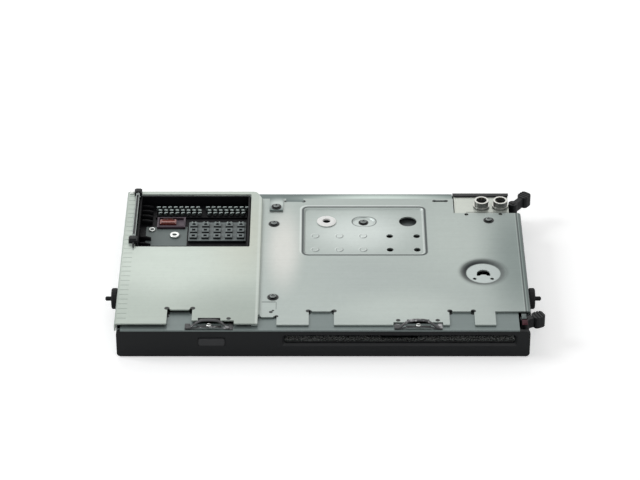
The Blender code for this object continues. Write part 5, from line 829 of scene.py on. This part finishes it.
# %% Fuse and frame
fuse_body = block((-0.0925, 0.0404, 0.0137), (-0.0833, 0.0448, 0.0152))
stepped_top(fuse_body, (0.0004, 0.0005), (0.0005, -0.0003))
edit(fuse_body, facing_near)
bpy.ops.mesh.inset(thickness=0.0007)
raise_by(0.0, 0.0003, 0.0)
leave()
soften(fuse_body, 0.00025, 3)
hand_over(fuse_body, "blade_fuse", red_plastic, "case", "red_plastic", "fuse")

fuse_frame = block((-0.0941, 0.0378, RECESS_SEAT), (-0.0781, 0.0480, 0.0148))
stepped_top(fuse_frame, (0.0006, 0.0004), (0.0005, -0.0018))
soften(fuse_frame, 0.00018)
hand_over(fuse_frame, "fuse_frame", purple_plastic, "case", "purple_plastic", "fuse_holder")

# %% [markdown]
# The ground eyelet is a metal ring with round lips, the brightest spot in the recess. It starts as
# a tube without ends, which gets a wall. A smaller one sits near the left end.

# %% Eyelets
def eyelet(x, y, foot, outer, bore, height):
    ring = drum((x, y, foot + height / 2), outer, height)
    edit(ring, lambda middle, normal: abs(normal.z) > FACING)
    bpy.ops.mesh.delete(type="FACE")
    leave()
    alone(ring)
    wall = ring.modifiers.new("wall", "SOLIDIFY")
    wall.thickness, wall.offset = outer - bore, -1.0
    bpy.ops.object.modifier_apply(modifier="wall")
    soften(ring, height * 0.42, 4, 60.0)
    return ring


ground_ring = eyelet(-0.0838, 0.03093, RECESS_SEAT, 0.0028, 0.0011, 0.0012)
hand_over(ground_ring, "ground_ring", nickel, "case", "bright_steel", "ground_eyelet")
corner_ring = eyelet(-0.0968, 0.0368, 0.0132, 0.0019, 0.0010, 0.0010)
hand_over(corner_ring, "corner_ring", nickel, "case", "bright_steel")

# %% [markdown]
# Floor detail of the recess. The near left part of the floor is a grey plate with a sunk middle,
# and dark ribs stand along the left wall.

# %% Recess floor
floor_plate = block((-0.1001, 0.0112, 0.01305), (-0.0768, 0.0402, 0.01325))
stepped_top(floor_plate, (0.0008, -0.00012))
hand_over(floor_plate, "recess_plate", plate_grey, "case", "grey_plastic")

RIB_STEPS = (-0.0300, -0.0235, -0.0170, 0.0, 0.0050, 0.0100, 0.0150)
rib = block((-0.1036, 0.0430, 0.0131), (-0.0968, 0.0438, 0.0152))
drawn_out(rib, facing_up, (0.0, 0.0, 0.0008), (0.5, 0.8, 1.0), (-0.1020, 0.0434, 0.0160))
soften(rib)
ribs = repeated(rib, [(0.0, step, 0.0) for step in RIB_STEPS])
hand_over(ribs, "recess_ribs", shell_plastic, "case", "black_plastic")

# %% [markdown]
# The lock lever is a folded bail. From above it reads as two bright lines with a dark groove, so
# a bar gets its top inset and pushed down. A pin at each end turns in a moulded knob, which is
# fixed to the cover. The near knob has a tail, and a bright hinge plate lies beside the far one.

# %% Lock lever and knobs
PIVOT_X, PIVOT_Z = -0.1058, 0.0217
KNOB_RIGHT, KNOB_TOP = -0.1037, 0.0221
PIVOT_RADIUS, BORE_RADIUS = 0.0005, 0.0007
KNOBS = [
    # side, left edge, near edge, far edge, and the place of the lever's pin along y
    ("near", -0.1085, 0.0130, 0.0174, 0.0177),
    ("far", -0.1079, 0.0621, 0.0665, 0.0618),
]

bail = block((PIVOT_X - 0.0010, 0.0178, 0.0209), (PIVOT_X + 0.0010, 0.0617, 0.0223))
stepped_top(bail, (0.00045, -0.0009))
soften(bail, 0.00018, 3)
lever_pins = [drum((PIVOT_X, pin_y, PIVOT_Z), PIVOT_RADIUS, 0.0036, 16, ALONG_Y)
              for side, left, near, far, pin_y in KNOBS]
hand_over(joined([bail] + lever_pins), "lock_bail", bail_steel, "lock_lever", "bright_steel",
          "lock_lever")


def knob(side, left, near, far, pin_y):
    """A cap on the cover, with a bore in which the lever's pin turns."""
    cap = block((left, near, LEFT_SEAT), (KNOB_RIGHT, far, KNOB_TOP))
    stepped_top(cap, (0.0006, 0.0007))
    cut_out(cap, drum((PIVOT_X, pin_y, PIVOT_Z), BORE_RADIUS, 0.0042, 24, ALONG_Y))
    soften(cap, 0.00045, 3)
    hand_over(cap, side + "_knob", black_plastic, "case", "black_plastic", "lever_cap_" + side)


for knob_facts in KNOBS:
    knob(*knob_facts)

tail = block((-0.1064, 0.0118, 0.0204), (-0.1052, 0.0138, 0.0214))
drawn_out(tail, facing_near, (0.0, -0.0040, 0.0), (0.5, 1.0, 0.5), (PIVOT_X, 0.0078, 0.0206))
soften(tail, 0.00015)
hand_over(tail, "knob_tail", black_plastic, "case", "black_plastic")

hinge_plate = block((-0.1107, 0.0640, LEFT_SEAT), (-0.1084, 0.0664, 0.0205))
stepped_top(hinge_plate, (0.0004, 0.0005))
soften(hinge_plate, 0.0002, 3)
hand_over(hinge_plate, "lever_hinge", nickel, "case", "bright_steel")

# %% [markdown]
# Leaf springs. Each is a bowed strip between two feet: it takes up the play when the unit is in
# its bay. A second, narrower leaf runs in front of it, and a bright rivet sits on a near-black web
# between them, which stands for the shade under the bowed leaves. A strip starts as one short face,
# whose end edge is pulled from point to point.

# %% A strip of sheet
def sheet_strip(points, width, thickness):
    """A strip of sheet along points that go from left to right."""
    (x0, y0, z0), (x1, y1, z1) = points[0], points[1]
    middle = ((x0 + x1) / 2, (y0 + y1) / 2, (z0 + z1) / 2)
    bpy.ops.object.select_all(action="DESELECT")
    bpy.ops.mesh.primitive_plane_add(size=1.0, location=middle)
    strip = bpy.context.object
    strip.scale = (x1 - x0, width, 1.0)
    bpy.ops.object.transform_apply(location=True, rotation=True, scale=True)
    bpy.ops.object.mode_set(mode="EDIT")
    bpy.ops.mesh.select_mode(type="EDGE")
    bpy.ops.mesh.select_all(action="DESELECT")
    form = bmesh.from_edit_mesh(strip.data)
    reach = max(vertex.co.x for vertex in form.verts)
    for edge in form.edges:
        edge.select_set(all(vertex.co.x > reach - 1e-6 for vertex in edge.verts))
    bmesh.update_edit_mesh(strip.data)
    for here, there in zip(points[1:], points[2:]):
        raise_by(*(b - a for a, b in zip(here, there)))
    bpy.ops.mesh.select_all(action="SELECT")
    bpy.ops.mesh.normals_make_consistent(inside=False)
    leave()
    sheet = strip.modifiers.new("sheet", "SOLIDIFY")
    sheet.thickness, sheet.offset = thickness, 0.0
    bpy.ops.object.modifier_apply(modifier="sheet")
    edit(strip, lambda middle, normal: True)
    bpy.ops.mesh.normals_make_consistent(inside=False)
    leave()
    soften(strip, thickness * 0.3, 2, 50.0)
    return strip


print("strip helper ready")

# %% [markdown]
# The points of half a leaf are given, from its foot to the middle of the spring, and the other half
# mirrors them. The rivet is a drum whose top is inset and lifted to a dome.

# %% Leaf springs
UPPER_LEAF = [(-0.0129, -0.0659, 0.0185), (-0.0106, -0.0658, 0.0185), (-0.0094, -0.0653, 0.0188),
              (-0.0080, -0.0647, 0.0196), (-0.0064, -0.0641, 0.0206), (-0.0048, -0.0637, 0.0213),
              (-0.0030, -0.0635, 0.0216), (0.0, -0.0634, 0.0217)]
LOWER_LEAF = [(-0.0127, -0.0664, 0.0184), (-0.0104, -0.0665, 0.0184), (-0.0086, -0.0666, 0.0186),
              (-0.0066, -0.0666, 0.0190), (-0.0044, -0.0666, 0.0193), (-0.0022, -0.0666, 0.0194),
              (0.0, -0.0666, 0.0194)]
UPPER_WIDTH, LOWER_WIDTH = 0.0022, 0.0009
LEAF_THICKNESS = 0.0005
FOOT_PLACES = (-0.0115, 0.0115)
WEB_Y = -0.0651
SPRING_MIDDLES = {"left": -0.06112, "right": 0.05089}


def both_ways(half):
    return half + [(-x, y, z) for x, y, z in reversed(half[:-1])]


def spring_foot(x):
    foot = block((x - 0.0014, -0.0672, 0.0181), (x + 0.0014, -0.0620, 0.0184))
    stepped_top(foot, (0.0004, 0.00012))
    soften(foot)
    return foot


def spring_leaves(side, middle_x):
    upper = sheet_strip(both_ways(UPPER_LEAF), UPPER_WIDTH, LEAF_THICKNESS)
    lower = sheet_strip(both_ways(LOWER_LEAF), LOWER_WIDTH, LEAF_THICKNESS)
    feet = [spring_foot(x) for x in FOOT_PLACES]
    leaves = repeated(joined([upper, lower, *feet]), [(middle_x, 0.0, 0.0)])
    hand_over(leaves, "leaf_" + side, leaf_steel, "case", "spring_steel", "leaf_spring_" + side)


# A near-black web that stands for the shade between and under the leaves.
def spring_shade_web(side, middle_x):
    shade_web = block((middle_x - 0.0066, -0.0662, 0.0186), (middle_x + 0.0066, -0.0640, 0.0190))
    edit(shade_web, lambda middle, normal: abs(normal.x) > FACING)
    scale_to((1.0, 0.4, 1.0), (middle_x, WEB_Y, 0.0188))
    leave()
    soften(shade_web)
    hand_over(shade_web, "spring_shade_web_" + side, oxide_and_shade_black, "case", "spring_steel")


def spring_rivet(side, middle_x):
    rivet = drum((middle_x, WEB_Y, 0.0194), 0.0014, 0.0008, 20)
    domed_top(rivet, (0.0005, 0.0003))
    soften(rivet, SMALL_EDGE, 2, 20.0)
    hand_over(rivet, "spring_rivet_" + side, nickel, "case", "bright_steel")


for side, middle_x in SPRING_MIDDLES.items():
    spring_leaves(side, middle_x)
    spring_shade_web(side, middle_x)
    spring_rivet(side, middle_x)

# %% [markdown]
# Behind each spring a thin black pad lies on the cover; it stands for the shade behind the spring.

# %% Painted shade pads behind the springs
for side, seat in (("left", LEFT_SEAT), ("right", RIGHT_SEAT)):
    middle_x = SPRING_MIDDLES[side]
    pad = block((middle_x - 0.0060, -0.0606, seat), (middle_x + 0.0060, -0.0594, seat + 0.0003))
    stepped_top(pad, (0.0003, -0.00008))
    soften(pad, 0.00012)
    hand_over(pad, "spring_shade_pad_" + side, rubber, "case", "black_rubber")

# %% [markdown]
# Screws. Seen from above they show bright middles in dark rings: a domed head with a cross recess,
# whose sides get painted shade, on a black washer that stands for the shade round the head. All
# heads are made alike, each at its own level and length, and two blocks cut the cross.

# %% Screws
DISH_SEAT = 0.01728
SCREWS = [
    # name, node, x, y, level of its seat, level of its point
    ("far_screw", "cover_screw_far", -0.02769, 0.03470, RIGHT_SEAT, 0.0137),
    ("near_screw", "cover_screw_near", -0.02730, -0.03800, RIGHT_SEAT, 0.0137),
    ("antenna_screw", "cover_screw_antenna", 0.09351, 0.03840, RIGHT_SEAT, 0.0137),
    ("tongue_head", "tongue_screw", -0.02660, 0.05077, LEFT_SEAT, 0.0148),
    ("adjuster_head", "adjuster_screw", 0.02274, 0.03829, DISH_SEAT, 0.0161),
]
HEAD_RADIUS, WASHER_RADIUS = 0.0018, 0.0028
CROSS_ARM, CROSS_REACH = 0.00026, 0.00105


def screw_head(x, y, seat, point):
    """Head, cross recess and shank, in one piece."""
    head = drum((x, y, seat + 0.0006), HEAD_RADIUS, 0.0006)
    domed_top(head, (0.0005, 0.00028), (0.0005, 0.00010))
    edit(head, lambda middle, normal: normal.z < -FACING)
    bpy.ops.mesh.inset(thickness=0.0006)
    raise_by(0.0, 0.0, point - seat - 0.0003)
    leave()
    low, high = seat + 0.0007, seat + 0.0020
    for half_x, half_y in ((CROSS_REACH, CROSS_ARM), (CROSS_ARM, CROSS_REACH)):
        cut_out(head, block((x - half_x, y - half_y, low), (x + half_x, y + half_y, high)))
    soften(head, 0.00008, 2, 50.0)
    return head


# A black washer that stands for the shade round a screw's head.
def shade_washer(x, y, seat):
    ring = drum((x, y, seat + 0.00015), WASHER_RADIUS, 0.0003)
    stepped_top(ring, (0.0004, -0.00008))
    soften(ring, 0.00008)
    return ring


for name, node_name, x, y, seat, point in SCREWS:
    hand_over(screw_head(x, y, seat, point), name, screw_steel, "case", "bright_steel", node_name)
shade_washers = joined([shade_washer(x, y, seat) for name, node_name, x, y, seat, point in SCREWS])
hand_over(shade_washers, "screw_washers", oxide_and_shade_black, "case", "dark_steel")

# %% [markdown]
# The white bush in the panel guides a pin of the bay. A black core in its bore stands for the shade
# down the bore.

# %% Painted shade in the bush's bore
bore_shade = drum((0.00189, 0.03791, 0.0172), 0.00222, 0.0016)
stepped_top(bore_shade, (0.0007, -0.0006))
soften(bore_shade)
hand_over(bore_shade, "bush_bore_shade", shell_plastic, "case", "black_plastic")

# %% [markdown]
# Antenna sockets keep their turned sleeves. The contact in each is modelled as what one sees from
# above: a dark insulator with a groove in its face, and a gold pin in its middle.

# %% Socket contacts
SOCKETS = (("left", 0.0901), ("right", 0.1008))
SOCKET_Y = 0.0544


def socket_contact(side, x):
    insulator = drum((x, SOCKET_Y, 0.0165), 0.00255, 0.0056)
    stepped_top(insulator, (0.0007, -0.0010), (0.0009, 0.0006))
    soften(insulator)
    hand_over(insulator, "insulator_" + side, shell_plastic, "case", "black_plastic",
              "antenna_contact_" + side)
    pin = drum((x, SOCKET_Y, 0.0193), 0.0006, 0.0012, 16)
    domed_top(pin, (0.00025, 0.0002))
    hand_over(pin, "contact_pin_" + side, gold, "case", "gold_contact")


for side, x in SOCKETS:
    socket_contact(side, x)

# %% [markdown]
# Over the antenna plate the far strip goes on as a dark folded edge. Along its foot lies a black
# strip that stands for the shade in the gap there. The near right corner has a grey cap on its post
# and a dull red foot.

# %% Edge strip, gap shade strip and corner caps
EDGE_TOP = 0.0182
edge_strip = block((0.0741, 0.0667, 0.01692), (0.1060, 0.0674, EDGE_TOP))
edit(edge_strip, facing_near)
raise_by(0.0, -0.0001, 0.0)
leave()
edit(edge_strip, facing_up)
raise_by(0.0, 0.0, 0.0003)
leave()
edit(edge_strip, lambda middle, normal: facing_near(middle, normal) and middle.z > EDGE_TOP)
raise_by(0.0, -0.0018, 0.0)
leave()
soften(edge_strip)
hand_over(edge_strip, "antenna_edge", oxide_and_shade_black, "case", "dark_steel")

# A black strip that stands for the shade in the gap along the edge's foot.
gap_shade_strip = block((0.0750, 0.0641, 0.01782), (0.1056, 0.0650, 0.0184))
stepped_top(gap_shade_strip, (0.0002, 0.0002))
soften(gap_shade_strip)
hand_over(gap_shade_strip, "antenna_gap_shade", rubber, "case", "black_rubber")

CORNER_SEAT = 0.01832
post_cap = block((0.1066, -0.0577, CORNER_SEAT), (0.1092, -0.0532, 0.0187))
stepped_top(post_cap, (0.0005, 0.0003))
soften(post_cap, 0.00015, 3)
hand_over(post_cap, "post_cap", plate_grey, "case", "grey_plastic")

red_foot = block((0.1066, -0.0634, CORNER_SEAT), (0.1096, -0.0586, 0.0186))
stepped_top(red_foot, (0.0006, 0.0003))
soften(red_foot, 0.00015, 3)
hand_over(red_foot, "corner_foot", maroon_rubber, "case", "red_plastic")

# %% [markdown]
# The studio: a white floor that keeps the case's soft shadow, and a white room. Camera and glossy
# rays see the room at full white, while the light that falls on the case is weaker. The floor lies
# a tenth of a millimetre under the case, and is clear from below.

# %% Floor and room
ROOM_LIGHT = 0.42
FLOOR_GLOW = 0.40
FLOOR_LEVEL = -0.0001

bpy.ops.mesh.primitive_plane_add(size=6.0, location=(0.0, 1.0, FLOOR_LEVEL))
floor = bpy.context.object
floor.name = "floor"
floor_graph = Graph("floor_white")
ray = floor_graph.add("ShaderNodeLightPath", {}, {}, "Is Camera Ray")
under = floor_graph.add("ShaderNodeNewGeometry", {}, {}, "Backfacing")
floor_graph.finish(Base_Color=(0.86, 0.86, 0.86), Roughness=0.9, Emission_Color=(1.0, 1.0, 1.0),
                   Emission_Strength=ray * FLOOR_GLOW, Alpha=1.0 - under)
dress(floor, floor_graph.material)

world = bpy.data.worlds.new("room")
scene.world = world
world.use_nodes = True
room = world.node_tree
background = room.nodes["Background"]
path = room.nodes.new("ShaderNodeLightPath")
seen = room.nodes.new("ShaderNodeMath")
seen.operation = "MAXIMUM"
room.links.new(path.outputs["Is Camera Ray"], seen.inputs[0])
room.links.new(path.outputs["Is Glossy Ray"], seen.inputs[1])
level = room.nodes.new("ShaderNodeMapRange")
level.inputs["To Min"].default_value = ROOM_LIGHT
level.inputs["To Max"].default_value = 1.0
room.links.new(seen.outputs[0], level.inputs["Value"])
room.links.new(level.outputs[0], background.inputs["Strength"])
background.inputs["Color"].default_value = (1.0, 1.0, 1.0, 1.0)
print("studio ready")
